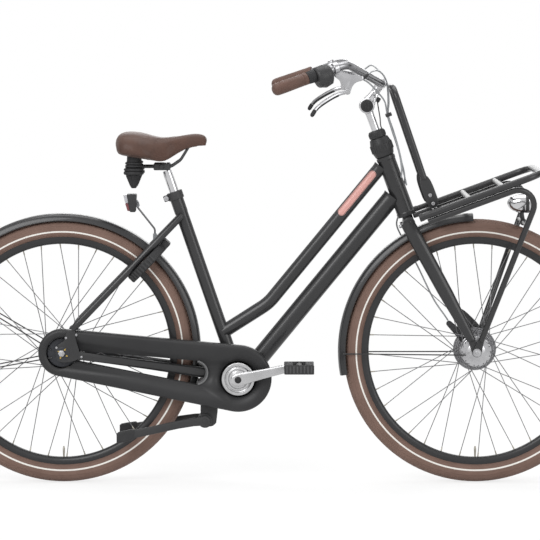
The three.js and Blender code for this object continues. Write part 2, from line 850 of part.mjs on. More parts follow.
// Both chainstays with their bridge and the dropout plates
function chainstays() {
  const rear_x = dropout_length * 0.62;
  const reach = bracket.x - rear_x;
  const level = chainstay_level;
  const front_x = bracket.x - bracket_shell_radius / 2;
  const waist_x = bracket.x - reach / 3;
  const bow_x = rear_x + reach / 5;
  const waist_height = (chainstay_front_height + chainstay_rear_height) / 2;
  const stay = loft([
    oval_ring(rear_x, dropout_mid_y, level(rear_x), dropout_thickness / 2, chainstay_rear_height / 2),
    oval_ring(bow_x, chainstay_bow_y, level(bow_x), chainstay_waist_width / 2, chainstay_rear_height / 2),
    oval_ring(waist_x, chainstay_waist_y, level(waist_x), chainstay_waist_width / 2, waist_height / 2),
    oval_ring(
      front_x, chainstay_front_y, level(front_x), chainstay_front_width / 2, chainstay_front_height / 2,
    ),
  ]);
  const outline = dropout_outline_shares.map(([ahead, up]) => (
    new THREE.Vector2(ahead * dropout_length, rear_axle.z + up * dropout_height)
  ));
  const dropout = plate(new THREE.Shape(outline), dropout_inner_y, dropout_thickness);
  const side = join(stay, dropout);
  const bridge_z = level(chainstay_bridge_x);
  const bridge = cross_rod(
    chainstay_bridge_x, bridge_z, chainstay_front_y, stay_bridge_radius, bridge_sides,
  );
  const bore = cross_rod(0, rear_axle.z, dropout_outer_y + overrun, clear_radius(axle_radius, 12), 12);
  return cut(join(side, mirrored(side), bridge), bore, shell_tool(), seat_tool());
}

// The stays' bridge stands just outside the mudguard, on the line from top to dropout
function stay_bridge_place(reach) {
  const from = seat_stay_top.clone().sub(rear_axle);
  const run = stay_foot.clone().sub(seat_stay_top);
  const middle = -from.dot(run) / run.lengthSq();
  const spare = from.lengthSq() - reach * reach;
  const share = middle - Math.sqrt(middle * middle - spare / run.lengthSq());
  return along(seat_stay_top, run, share);
}

const seat_stay_top = along(bracket, seat_up, seat_stay_joint);
const dropout_top_z = rear_axle.z + dropout_height * 0.69;
const stay_foot = v(seat_stay_foot_x, 0, dropout_top_z);
const stay_shoulder = stay_bridge_place(mudguard_radius + stay_bridge_gap);
const rear_lamp_x = stay_shoulder.x - rear_lamp_setback;
const rear_lamp_z = stay_shoulder.z + rear_lamp_rise;

// The ring lock lies along the stays' lower side, and the wheel stands with a gap at its bolt
const stay_way = stay_shoulder.clone().sub(stay_foot).normalize();
const lock_angle = Math.atan2(stay_way.z, stay_way.x);
const lock_side = v(-Math.sin(lock_angle), 0, Math.cos(lock_angle));
const stay_flat = seat_stay_radius * Math.cos(Math.PI / seat_stay_sides);
const lock_shift = stay_foot.clone().sub(rear_axle).dot(lock_side)
  - stay_flat - seat_gap - lock_ring_thickness / 2;
const spoke_gap_angle = lock_angle + Math.atan2(lock_shift, lock_ring_reach - lock_bolt_arc_radius);

// Both seat stays with the bridge that carries mudguard, lock and lamp
function seat_stays() {
  const top = seat_stay_top.clone().setY(seat_stay_spread);
  const shoulder = stay_shoulder.clone().setY(seat_stay_shoulder_spread);
  const foot = stay_foot.clone().setY(dropout_mid_y);
  const beyond = along(foot, foot.clone().sub(shoulder).normalize(), seat_stay_radius * 2);
  const route = bent_points([top, shoulder, beyond], seat_stay_bend_radius, 2);
  const side = sweep(route, round_shape(seat_stay_radius, seat_stay_sides));
  const { x, z } = stay_shoulder;
  const bridge = cross_rod(x, z, seat_stay_shoulder_spread, stay_bridge_radius, bridge_sides);
  const floor = block(
    v(-dropout_length, -dropout_outer_y - overrun, rear_axle.z - dropout_height),
    v(dropout_length, dropout_outer_y + overrun, dropout_top_z + seat_gap),
  );
  return cut(join(side, mirrored(side), bridge), seat_tool(), floor);
}

// An arched strip that follows the tyre, from one angle to another
function mudguard(from, to) {
  const half = mudguard_width / 2;
  const shape = new THREE.Shape();
  const arch = [[1, 0], [0.8, 0.76], [0, 1]];
  const outer = arch.map(([side, rise]) => [side * half, mudguard_depth * (rise - 1)]);
  const inner = arch.map(([side, rise]) => (
    [side * (half - mudguard_thickness), mudguard_depth * (rise - 1) - mudguard_thickness * rise]
  ));
  const across = ([y, drop]) => [-y, drop];
  const outline = [
    ...outer, across(outer[1]), across(outer[0]), across(inner[0]), across(inner[1]),
    inner[2], inner[1], inner[0],
  ];
  outline.forEach(([y, drop], index) => (index === 0 ? shape.moveTo(y, drop) : shape.lineTo(y, drop)));
  const steps = Math.ceil((to - from) / (10 * degree));
  const points = [];
  for (let step = 0; step <= steps; step += 1) {
    const turn = from + ((to - from) * step) / steps;
    points.push(v(mudguard_radius * Math.cos(turn), 0, mudguard_radius * Math.sin(turn)));
  }
  return sweep(points, shape);
}

// A mudguard with a bolted stem to each cross piece that carries it
function held_mudguard(from, to, holders) {
  const stems = [];
  const tools = [];
  holders.forEach(([place, radius, sides]) => {
    const depth = mudguard_radius - mudguard_thickness - mudguard_bolt_head;
    const start = place.clone().setLength(depth);
    stems.push(rod(start, place, mudguard_stem_radius, 8));
    tools.push(cross_rod(place.x, place.z, mudguard_width, clear_radius(radius, sides), sides));
  });
  return cut(join(mudguard(from, to), ...stems), ...tools);
}

const pitch_radius = (teeth) => chain_pitch / (2 * Math.sin(Math.PI / teeth));

function toothed_plate(teeth) {
  const points = [];
  for (let tooth = 0; tooth < teeth; tooth += 1) {
    [[-0.5, -tooth_root_depth], [0, tooth_height]].forEach(([share, rise]) => {
      const turn = (2 * Math.PI * (tooth + share)) / teeth;
      const radius = pitch_radius(teeth) + rise;
      points.push(new THREE.Vector2(radius * Math.cos(turn), radius * Math.sin(turn)));
    });
  }
  return plate(new THREE.Shape(points), -chain_line - tooth_plate_thickness / 2, tooth_plate_thickness);
}

function rear_sprocket() {
  const hub_end = hub_length / 2 + seat_gap;
  const boss_end = chain_line + tooth_plate_thickness;
  const boss = rod(v(0, -hub_end, 0), v(0, -boss_end, 0), sprocket_boss_radius, 16);
  const bore = cross_rod(0, 0, boss_end + overrun, axle_radius + turn_gap, 12);
  return cut(join(toothed_plate(sprocket_teeth), boss), bore);
}

// Two rows of link plates, joined by the rollers of the straight runs
function chain() {
  const rear_radius = pitch_radius(sprocket_teeth);
  const front_radius = pitch_radius(chainring_teeth);
  const half = chain_plate_height / 2;
  const band = (from_y) => {
    const shape = belt_shape(rear_axle, rear_radius + half, bracket, front_radius + half, 8);
    const inside = belt_shape(rear_axle, rear_radius - half, bracket, front_radius - half, 8);
    shape.holes.push(new THREE.Path(inside.getPoints()));
    return plate(shape, from_y, chain_plate_thickness);
  };
  const pieces = [
    band(-chain_line - chain_plate_gap / 2 - chain_plate_thickness),
    band(-chain_line + chain_plate_gap / 2),
  ];
  const reach = rear_axle.distanceTo(bracket);
  const run = bracket.clone().sub(rear_axle).normalize();
  const lean = Math.asin((front_radius - rear_radius) / reach);
  const pins = Math.floor((reach - rear_radius - front_radius) / chain_roller_spacing);
  [1, -1].forEach((side) => {
    const way = run.clone().applyAxisAngle(v(0, 1, 0), -side * lean);
    const off = way.clone().applyAxisAngle(v(0, 1, 0), (-side * Math.PI) / 2);
    const start = along(rear_axle, off, rear_radius);
    for (let pin = 1; pin <= pins; pin += 1) {
      const place = along(start, way, rear_radius + pin * chain_roller_spacing);
      const near = place.clone().setY(-chain_line - chain_plate_gap / 2 - chain_plate_thickness / 2);
      const far = place.clone().setY(-chain_line + chain_plate_gap / 2 + chain_plate_thickness / 2);
      pieces.push(rod(near, far, chain_roller_radius, 6));
    }
  });
  return join(...pieces);
}

// The chain case is a hollow shell round the chain, open along its middle slot
function chain_case() {
  const depth = case_outer_y - case_inner_y;
  const slot_rear = v(case_slot_rear_x, 0, rear_axle.z - case_slot_rear_drop);
  const slot_front = v(bracket.x - case_slot_front_gap, 0, bracket.z + case_slot_front_rise);
  const contour = (inset) => (
    belt_shape(rear_axle, case_rear_radius - inset, bracket, case_front_radius - inset, 10)
  );
  const slot = (growth) => (
    belt_shape(slot_rear, case_slot_rear_radius + growth, slot_front, case_slot_front_radius + growth, 6)
  );
  const bevel = { bevelEnabled: true, bevelSegments: 1, bevelSize: case_edge, bevelThickness: case_edge };
  const outer = plate(contour(case_edge), -case_outer_y + case_edge, depth - 2 * case_edge, bevel);
  const cavity = cut(
    plate(contour(case_rim_wall), -case_outer_y + case_wall, depth - 2 * case_wall),
    plate(slot(case_wall), -case_outer_y - overrun, depth + 2 * overrun),
  );
  const through = (centre, radius, from_y, to_y, sides) => (
    rod(v(centre.x, from_y, centre.z), v(centre.x, to_y, centre.z), radius, sides)
  );
  const outside = -case_outer_y - overrun;
  const inside = -case_inner_y + overrun;
  const middle = (-case_outer_y - case_inner_y) / 2;
  return cut(
    outer, cavity, plate(slot(0), outside, inside - outside),
    through(rear_axle, case_rear_opening_radius, outside, inside, 16),
    through(bracket, case_crank_opening_radius, outside, middle, 18),
    through(bracket, case_bracket_opening_radius, middle, inside, 14),
  );
}

// A crank arm along +x, with its pedal spindle, on the side that side gives
function crank_arm(side) {
  const inner = crank_outer_y - crank_arm_thickness;
  const tip = v(crank_length, 0, 0);
  const spindle_end = crank_outer_y + pedal_spindle_length;
  const outline = belt_shape(v(0, 0, 0), crank_arm_root_radius, tip, crank_arm_tip_radius, 6);
  const boss_from = side > 0 ? crank_outer_y - crank_axle_end_length - crank_arm_thickness / 2
    : chain_line - tooth_plate_thickness / 2;
  const pieces = [
    plate(outline, inner, crank_arm_thickness),
    rod(v(0, boss_from, 0), v(0, crank_outer_y, 0), crank_boss_radius, 14),
    rod(tip.clone().setY(inner), tip.clone().setY(spindle_end), pedal_spindle_radius, 8),
  ];
  const socket = rod(
    v(0, boss_from - overrun, 0), v(0, crank_outer_y - seat_gap - crank_axle_radius / 2, 0),
    clear_radius(crank_axle_end_radius, 12), 12,
  );
  const arm = cut(join(...pieces), socket);
  return side > 0 ? arm : mirrored(arm);
}

function crank_right() {
  const disc_from = case_outer_y + turn_gap;
  const disc = rod(v(0, -disc_from, 0), v(0, -disc_from - crank_disc_thickness, 0), crank_disc_radius, 18);
  const bore = rod(
    v(0, 0, 0), v(0, -disc_from - crank_disc_thickness, 0), clear_radius(crank_axle_end_radius, 12), 12,
  );
  return join(crank_arm(-1), cut(join(disc), bore), cut(toothed_plate(chainring_teeth), bore));
}

function crank_axle() {
  const end = crank_outer_y - 2 * seat_gap - crank_axle_radius / 2;
  const shoulder = end - crank_axle_end_length;
  const right_shoulder = chain_line - tooth_plate_thickness;
  return turned([
    [0, -end], [crank_axle_end_radius, -end], [crank_axle_end_radius, -right_shoulder],
    [crank_axle_radius, -right_shoulder], [crank_axle_radius, shoulder - crank_arm_thickness / 2],
    [crank_axle_end_radius, shoulder - crank_arm_thickness / 2], [crank_axle_end_radius, end], [0, end],
  ], 12);
}

// A pedal on the left, centred on its spindle; the right one is its mirror image
function pedal() {
  const from = crank_outer_y + pedal_gap;
  const to = from + pedal_width;
  const half = pedal_length / 2;
  const rise = pedal_height / 2;
  const end_plate = (y) => plate(box_shape(pedal_length, pedal_height * 0.8), y, pedal_plate_thickness);
  return cut(join(
    rod(v(0, from, 0), v(0, to, 0), pedal_barrel_radius, 12),
    block(v(half - pedal_block_length, from, -rise), v(half, to, rise)),
    block(v(-half, from, -rise), v(pedal_block_length - half, to, rise)),
    end_plate(from), end_plate(to - pedal_plate_thickness),
  ), rod(v(0, 0, 0), v(0, to + overrun, 0), pedal_spindle_radius + turn_gap, 12));
}

// The bracket under the chainstays that carries the centre stand
function stand_bracket() {
  const top = chainstay_level(stand_pivot_x) - chainstay_front_height / 2 - stand_plate_thickness / 2;
  const front = stand_pivot_x + stand_block_lead;
  const half = stand_block_width / 2;
  return cut(join(
    block(
      v(front - stand_plate_length, -stand_plate_width / 2, top - stand_plate_thickness),
      v(front, stand_plate_width / 2, top),
    ),
    block(v(stand_pivot_x, -half, stand_pivot_z - stand_hub_radius), v(front, half, top)),
    cross_rod(stand_pivot_x, stand_pivot_z, stand_barrel_width / 2, stand_barrel_radius, 14),
  ), cross_rod(stand_pivot_x, stand_pivot_z, stand_barrel_width, stand_pin_radius + turn_gap, 10));
}

// The stand itself, measured from its pivot: a pin, two legs and two feet
function stand() {
  const hub_from = stand_barrel_width / 2 + turn_gap;
  const hub_to = hub_from + stand_hub_width;
  const hub_mid = (hub_from + hub_to) / 2;
  const foot = v(-stand_leg_reach, stand_foot_spread, -stand_leg_drop);
  const knee_y = hub_mid + (stand_foot_spread - hub_mid) * 0.2;
  const knee = v(-stand_leg_reach * 0.3, knee_y, -stand_leg_drop * 0.2);
  const leg = sweep([v(0, hub_mid, 0), knee, foot], box_shape(stand_leg_width, stand_leg_height));
  const shoe_from = along(foot, foot.clone().sub(knee).normalize(), -stand_foot_length);
  const shoe = sweep([shoe_from, foot], box_shape(stand_foot_width, stand_foot_height));
  const hub = rod(v(0, hub_from, 0), v(0, hub_to, 0), stand_hub_radius, 12);
  const side = join(leg, shoe, hub);
  return join(side, mirrored(side), cross_rod(0, 0, hub_mid, stand_pin_radius, 10));
}

// The ring lock stands square to the tyre: x is away from the hub, z along the tyre
function ring_lock() {
  const horseshoe = new THREE.Shape();
  const leg = Math.PI - lock_gap_angle;
  horseshoe.absarc(lock_ring_reach, 0, lock_ring_outer_radius, -leg, leg, false);
  horseshoe.absarc(lock_ring_reach, 0, lock_ring_inner_radius, leg, -leg, true);
  const body = new THREE.ExtrudeGeometry(horseshoe, {
    depth: lock_ring_thickness, bevelEnabled: false, curveSegments: 10,
  }).translate(0, 0, -lock_ring_thickness / 2);
  const channel_span = lock_bolt_span + lock_bolt_travel + lock_channel_spare;
  const channel = lock_arc(lock_channel_radius, leg + lock_bolt_travel, channel_span);
  return cut(body, channel);
}

// An arc round the ring's centre, back from its leading angle
function lock_arc(radius, leading, span) {
  const steps = Math.ceil(span / (10 * degree));
  const points = [];
  for (let step = 0; step <= steps; step += 1) {
    const turn = leading - (span * step) / steps;
    points.push(v(
      lock_ring_reach + lock_bolt_arc_radius * Math.cos(turn), lock_bolt_arc_radius * Math.sin(turn), 0,
    ));
  }
  return sweep(points, round_shape(radius, 6));
}

const lock_bolt = () => lock_arc(lock_bolt_radius, Math.PI - lock_gap_angle - degree, lock_bolt_span);

function rear_lamp() {
  const half = rear_lamp_width / 2;
  const low = rear_lamp_z - rear_lamp_height / 2;
  const high = rear_lamp_z + rear_lamp_height / 2;
  const back = rear_lamp_x - rear_lamp_depth / 2;
  const front = rear_lamp_x + rear_lamp_depth / 2;
  const outline = new THREE.Shape([
    new THREE.Vector2(back, high), new THREE.Vector2(back + rear_lamp_taper, low),
    new THREE.Vector2(front, low), new THREE.Vector2(front, high),
  ]);
  const body = plate(outline, -half, rear_lamp_width);
  const bridge_top = stay_shoulder.z + stay_bridge_radius + seat_gap;
  const rod_start = v(front - rear_lamp_taper, 0, rear_lamp_z);
  const rod_bend = v(stay_shoulder.x, 0, rear_lamp_z - rear_lamp_rod_drop);
  const rod_end = v(stay_shoulder.x, 0, bridge_top);
  const stem = sweep([rod_start, rod_bend, rod_end], round_shape(rear_lamp_rod_radius, 6));
  return join(body, stem);
}

function seat_clamp() {
  const bore = clear_radius(seat_tube_radius, 14);
  const low = -seat_clamp_height;
  const ring = turned_upright([
    [seat_clamp_radius, low], [seat_clamp_radius, 0], [bore, 0], [bore, low],
  ], 14);
  const ears = block(
    v(-seat_clamp_ear_reach, -seat_clamp_ear_width / 2, low), v(-bore, seat_clamp_ear_width / 2, 0),
  );
  const bolt_x = seat_clamp_bolt_radius - seat_clamp_ear_reach;
  const bolt = cross_rod(bolt_x, low / 2, seat_clamp_bolt_length / 2, seat_clamp_bolt_radius, 10);
  const tool = rod(v(0, 0, low - overrun), v(0, 0, overrun), bore, 14);
  return cut(join(ring, ears, bolt), tool);
}

// The seat post, along its own axis with the saddle pivot at z 0
function seat_post() {
  const low = seat_tube_length - seat_post_insert - saddle_pivot_joint;
  const bore = seat_post_radius - seat_post_wall;
  const top = -saddle_head_radius / 2;
  const tube = turned_upright([
    [seat_post_radius, low], [seat_post_radius, top - saddle_head_radius], [saddle_head_radius, top],
    [0, top], [0, top - saddle_head_radius], [bore, top - 2 * saddle_head_radius], [bore, low],
  ], 12);
  return cut(
    join(tube, cross_rod(0, 0, saddle_head_width / 2, saddle_head_radius, 12)),
    cross_rod(0, 0, saddle_head_width, saddle_pin_radius + turn_gap, 8),
  );
}

// A ribbed spring cover over a cone, standing on its tip
function bellows() {
  const rim_z = bellows_rib_rise;
  const profile = [[0, rim_z - bellows_cone_length - bellows_rib_pitch]];
  profile.push([bellows_tip_radius, rim_z - bellows_cone_length - bellows_rib_pitch]);
  profile.push([bellows_rib_radius - bellows_rib_depth, rim_z - bellows_rib_pitch]);
  for (let rib = 0; rib < bellows_rib_count; rib += 1) {
    const low = rim_z + (rib - 1 / 2) * bellows_rib_pitch;
    profile.push([bellows_rib_radius - rib, low]);
    profile.push([bellows_rib_radius - bellows_rib_depth - rib, low + bellows_rib_pitch / 2]);
  }
  const neck = rim_z + bellows_rib_count * bellows_rib_pitch;
  profile.push([bellows_neck_radius, neck], [bellows_neck_radius, bellows_top_rise], [0, bellows_top_rise]);
  return turned_upright(profile, 8);
}

// Rails, clamp cheeks and spring covers, measured from the saddle pivot, up to the cover
function saddle_undercarriage() {
  const side_y = saddle_head_width / 2 + seat_gap;
  const outer_y = side_y + saddle_clamp_width;
  const cheek = (from_y) => block(
    v(-saddle_clamp_length * 0.7, from_y, -saddle_clamp_height / 2),
    v(saddle_clamp_length * 0.3, from_y + saddle_clamp_width, saddle_clamp_height / 2),
  );
  const rail = (side) => sweep([
    v(-rail_back_reach, side * rail_spread, -rail_drop),
    v(rail_front_reach, side * rail_spread, -rail_drop),
    v(rail_rise_reach, side * rail_spread, rail_rise),
    v(rail_nose_reach, side * rail_nose_spread, rail_nose_rise),
  ], round_shape(rail_radius, 6));
  const nose = block(
    v(rail_nose_reach - nose_block_length, -rail_nose_spread, rail_nose_rise - nose_block_height),
    v(rail_nose_reach, rail_nose_spread, rail_nose_rise + nose_block_height),
  );
  const spring = (side) => bellows().translate(-bellows_reach, side * bellows_spread, -bellows_rib_rise / 2);
  return cut(join(
    cheek(side_y), cheek(-outer_y), cross_rod(0, 0, outer_y, saddle_pin_radius, 8),
    rail(1), rail(-1), nose, spring(1), spring(-1),
  ), saddle_cover().translate(-saddle_pivot.x, 0, -saddle_pivot.z - seat_gap));
}

// The padded saddle cover: a crown over drawn-in sides and a hollow underside
function saddle_cover() {
  const arch = [0, 0.12, 0.3, 0.62, 1, 1.38, 1.7, 1.88, 2];
  const under = [[-0.84, 0.06], [-0.55, 0.8], [0, 1], [0.55, 0.8], [0.84, 0.06]];
  return loft(saddle_station_shares.map(([place, spread, top, bottom]) => {
    const x = saddle_pivot.x - saddle_rear_overhang + place * saddle_length;
    const half = spread * saddle_width;
    const low = saddle_pivot.z + saddle_base_rise + bottom * saddle_height;
    const rise = (top - bottom) * saddle_height;
    const crown = arch.map((share) => {
      const turn = (share * Math.PI) / 2;
      const side = Math.sign(Math.cos(turn)) * Math.abs(Math.cos(turn)) ** 0.7;
      return v(x, half * side, low + rise * Math.sin(turn) ** 0.75);
    });
    const hollow = under.map(([side, lift]) => v(x, half * side, low + rise * saddle_hollow_share * lift));
    return [...crown, ...hollow];
  }));
}

const blade_x = (z) => -blade_setback - blade_rake_share * z;

// The fork in the steering frame: crown, steerer with its lock nut, blades and tips
function fork() {
  const bore = quill_radius + 2 * seat_gap;
  const nut_from = head_tube_length + 3 * seat_gap + lock_housing_height;
  const nut_to = nut_from + lock_nut_height;
  const steerer = turned_upright([
    [steerer_radius, -crown_drop], [steerer_radius, nut_from], [lock_nut_radius, nut_from],
    [lock_nut_radius, nut_to - lock_nut_height / 3], [steerer_radius, nut_to],
    [bore, nut_to], [bore, -crown_drop],
  ], 12);
  const blade = (side) => {
    const level = (share) => -blade_top_drop - (blade_bottom_drop - blade_top_drop) * share;
    const mix = (from, to, share) => from + (to - from) * share;
    return loft([[0, 0.8, 0.8], [0.13, 1, 1], [0.6, 0.88, 0.85], [1, 0, 0]].map(([share, depth, width]) => {
      const half_depth = mix(blade_bottom_depth, blade_top_depth, share < 1 ? depth : 0) / 2;
      const half_width = mix(blade_bottom_width, blade_top_width, share < 1 ? width : 0) / 2;
      const y = side * mix(crown_half_width, blade_bottom_y, share);
      return ring_points(1, 10).map((point) => (
        v(blade_x(level(share)) + half_depth * point.x, y + half_width * point.y, level(share))
      ));
    }));
  };
  const axle_place = v(fork_offset, 0, -fork_length);
  const tip_top = v(blade_x(-blade_bottom_drop), 0, -blade_bottom_drop);
  const tip_outline = belt_shape(axle_place, fork_tip_radius, tip_top, fork_tip_top_radius, 5);
  const tip = plate(tip_outline, fork_tip_inner_y, fork_tip_thickness);
  const left = join(blade(1), tip);
  const crown = cross_rod(-blade_setback / 4, -crown_drop, crown_half_width, crown_radius, 12);
  return cut(
    join(left, mirrored(left), crown, steerer),
    cross_rod(fork_offset, -fork_length, fork_tip_inner_y + overrun, clear_radius(axle_radius, 12), 12),
  );
}

function lock_housing() {
  const low = head_tube_length + seat_gap;
  const high = low + lock_housing_height;
  const bore = steerer_radius + turn_gap;
  return turned_upright([
    [bore, low], [lock_housing_foot_radius, low], [lock_housing_radius, low + lock_housing_taper],
    [lock_housing_radius, high - lock_housing_taper / 2], [lock_housing_foot_radius, high], [bore, high],
  ], 12);
}

// The quill and its head, in the steering frame
function stem_quill() {
  const head = stem_pivot_height;
  const shaft_top = head - stem_pivot_radius - turn_gap;
  const shaft = rod(v(0, 0, quill_insert), v(0, 0, shaft_top), quill_radius, 12);
  const neck = block(
    v(-quill_radius * 0.8, -quill_head_width / 2, shaft_top - quill_radius),
    v(quill_radius * 0.8, quill_head_width / 2, head),
  );
  const lug = cross_rod(0, head, quill_head_width / 2, quill_head_radius, 14);
  return cut(join(shaft, neck, lug), cross_rod(0, head, quill_head_width, stem_pin_radius + turn_gap, 10));
}

// The stem arm, measured from its pivot
function stem_arm() {
  const cheek_from = quill_head_width / 2 + seat_gap;
  const cheek_to = cheek_from + stem_cheek_width;
  const clamp = v(stem_clamp_reach, 0, stem_clamp_rise);
  const way = clamp.clone().normalize();
  const arm = block(
    v(-stem_arm_depth / 2, -stem_arm_width / 2, quill_head_radius + turn_gap),
    v(stem_arm_depth / 2, stem_arm_width / 2, clamp.length()),
  );
  const cheek = (side) => join(
    rod(v(0, side * cheek_from, 0), v(0, side * cheek_to, 0), stem_pivot_radius, 14),
    block(
      v(-stem_arm_depth / 2, Math.min(side * cheek_from, side * stem_arm_width / 2), 0),
      v(stem_arm_depth / 2, Math.max(side * cheek_from, side * stem_arm_width / 2), clamp.length() / 2),
    ).applyQuaternion(new THREE.Quaternion().setFromUnitVectors(v(0, 0, 1), way)),
  );
  const barrel = cross_rod(clamp.x, clamp.z, stem_clamp_width / 2, stem_clamp_radius, 14);
  const lug_room = cross_rod(0, 0, cheek_from, quill_head_radius + turn_gap, 14);
  const pin = cross_rod(0, 0, cheek_from + seat_gap, stem_pin_radius, 10);
  return cut(
    join(cut(join(aimed(arm, v(0, 0, 0), way), cheek(1), cheek(-1)), lug_room), barrel, pin),
    cross_rod(clamp.x, clamp.z, stem_clamp_width, clear_radius(bar_radius, bar_sides), bar_sides),
  );
}

// The handlebar and what it carries, measured from the stem's pivot; y is positive here
const bar_end = v(bar_end_reach, bar_end_y, bar_end_rise);
const bar_shoulder = v(bar_shoulder_reach, bar_shoulder_y, bar_shoulder_rise);
const bar_way = bar_shoulder.clone().sub(bar_end).normalize();
const on_bar = (distance) => along(bar_end, bar_way, distance);

function bar_half_route() {
  const neck = v(stem_clamp_reach, bar_straight_half, stem_clamp_rise);
  const middle = neck.clone().setY(0);
  return bent_points([middle, neck, bar_shoulder, bar_end], bar_bend_radius, 2);
}

function handlebar() {
  const left = bar_half_route();
  const right = left.slice(1).map((point) => v(point.x, -point.y, point.z));
  const route = [...left.reverse(), ...right];
  return sweep(route, round_shape(bar_radius, bar_sides, bar_radius - bar_wall, 6));
}

// A cutting tool round the bar's straight end, up to one distance from its tip
const bar_tool = (reach) => rod(
  on_bar(-overrun), on_bar(reach + overrun), clear_radius(bar_radius, bar_sides), bar_sides,
);

// A sleeve on the bar's straight end, from one distance to another
function bar_sleeve(from, to, from_radius, to_radius) {
  const bore = clear_radius(bar_radius, bar_sides);
  const sleeve = turned_upright([[from_radius, from], [to_radius, to], [bore, to], [bore, from]], 12);
  return aimed(sleeve, bar_end, bar_way);
}

function grip(length) {
  const bore = clear_radius(bar_radius, bar_sides);
  return aimed(turned_upright([
    [0, -grip_cap], [grip_radius * 0.75, -grip_cap], [grip_radius, grip_cap], [grip_radius, length],
    [bore, length], [bore, -seat_gap], [0, -seat_gap],
  ], 12), bar_end, bar_way);
}

const twist_from = grip_right_length + seat_gap;
const shifter_from = twist_from + twist_length + seat_gap;

function shifter_housing() {
  const down = v(0, 0, -1).addScaledVector(bar_way, bar_way.z).normalize();
  const start = along(on_bar(shifter_from), down, shifter_sag);
  const body = rod(start, along(start, bar_way, shifter_length), shifter_radius, 14);
  return cut(body, bar_tool(shifter_from + shifter_length));
}

// The clamp ring and cast body that carry a brake lever
function brake_bracket() {
  const ring = rod(
    on_bar(brake_ring_place - brake_ring_length / 2), on_bar(brake_ring_place + brake_ring_length / 2),
    brake_ring_radius, 12,
  );
  const outline = bracket_plate_shares.map(([ahead, up]) => new THREE.Vector2(
    bracket_plate_tail + ahead * bracket_plate_length, bracket_plate_foot + up * bracket_plate_height,
  ));
  const from = bracket_plate_y - bracket_plate_thickness / 2;
  const body = plate(new THREE.Shape(outline), from, bracket_plate_thickness);
  const pin_end = from + bracket_plate_thickness + seat_gap + lever_thickness;
  const pin = rod(
    v(lever_pivot_reach, from, lever_pivot_rise), v(lever_pivot_reach, pin_end, lever_pivot_rise),
    lever_pin_radius, 8,
  );
  return cut(join(ring, body, pin), bar_tool(brake_ring_place + brake_ring_length));
}

function brake_lever() {
  const from = bracket_plate_y + bracket_plate_thickness / 2 + seat_gap;
  const pivot = v(lever_pivot_reach, from + lever_thickness / 2, lever_pivot_rise);
  const to = from + lever_thickness;
  const eye = rod(pivot.clone().setY(from), pivot.clone().setY(to), lever_eye_radius, 12);
  const route = lever_route_shares.map(([run, fall, flare]) => (
    v(pivot.x - run * lever_run, pivot.y + flare * lever_flare, pivot.z - fall * lever_fall)
  ));
  const blade = sweep([pivot, ...route], box_shape(lever_thickness, lever_blade_height));
  const bore = rod(
    pivot.clone().setY(0), pivot.clone().setY(to + overrun), lever_pin_radius + turn_gap, 8,
  );
  return cut(join(eye, blade), bore);
}

// The carrier's deck: side rails round the front, cross tubes and a neck to the crown
function carrier_deck() {
  const z = carrier_rail_level;
  const corners = [
    v(carrier_rear_reach, -carrier_rail_y, z), v(carrier_front_reach, -carrier_rail_y, z),
    v(carrier_front_reach, carrier_rail_y, z), v(carrier_rear_reach, carrier_rail_y, z),
  ];
  const rails = sweep(bent_points(corners, carrier_corner_radius, 3), round_shape(carrier_rail_radius, 8));
  const cross = carrier_cross_reaches.map((x) => cross_rod(x, z, carrier_rail_y, carrier_cross_radius, 8));
  const neck = cut(block(
    v(0, -carrier_neck_width / 2, z - carrier_neck_height / 2),
    v(carrier_cross_reaches[0], carrier_neck_width / 2, z + carrier_neck_height / 2),
  ), cross_rod(-blade_setback / 4, -crown_drop, crown_half_width, clear_radius(crown_radius, 12), 12),
  rod(v(0, 0, -overrun), v(0, 0, overrun), clear_radius(head_tube_radius, 14), 14));
  return join(rails, ...cross, neck);
}

// Both struts from the rails to the front axle, with the bar that holds the headlamp
const strut_level = carrier_rail_level - carrier_rail_radius - strut_radius - seat_gap;

function carrier_struts() {
  const axle_place = v(fork_offset, 0, -fork_length);
  const foot = v(fork_offset + strut_foot_lead, strut_foot_y, strut_foot_rise - fork_length);
  const corner = v(strut_corner_reach, carrier_rail_y, strut_level);
  const start = corner.clone().setX(strut_rear_reach);
  const route = bent_points([start, corner, foot], strut_corner_radius, 3);
  const eye_y = fork_tip_inner_y + fork_tip_thickness + seat_gap;
  const eye_outline = belt_shape(axle_place, strut_eye_radius, foot, strut_radius, 5);
  const eye = plate(eye_outline, eye_y, strut_eye_thickness);
  const side = join(sweep(route, round_shape(strut_radius, 8)), eye);
  const share = (strut_bar_drop - corner.z * -1) / (corner.z * -1 - foot.z * -1);
  const bar_place = corner.clone().lerp(foot, -share);
  const bar = cross_rod(bar_place.x, bar_place.z, bar_place.y, strut_bar_radius, 8);
  return cut(
    join(side, mirrored(side), bar),
    cross_rod(fork_offset, -fork_length, eye_y + overrun, clear_radius(axle_radius, 12), 12),
  );
}

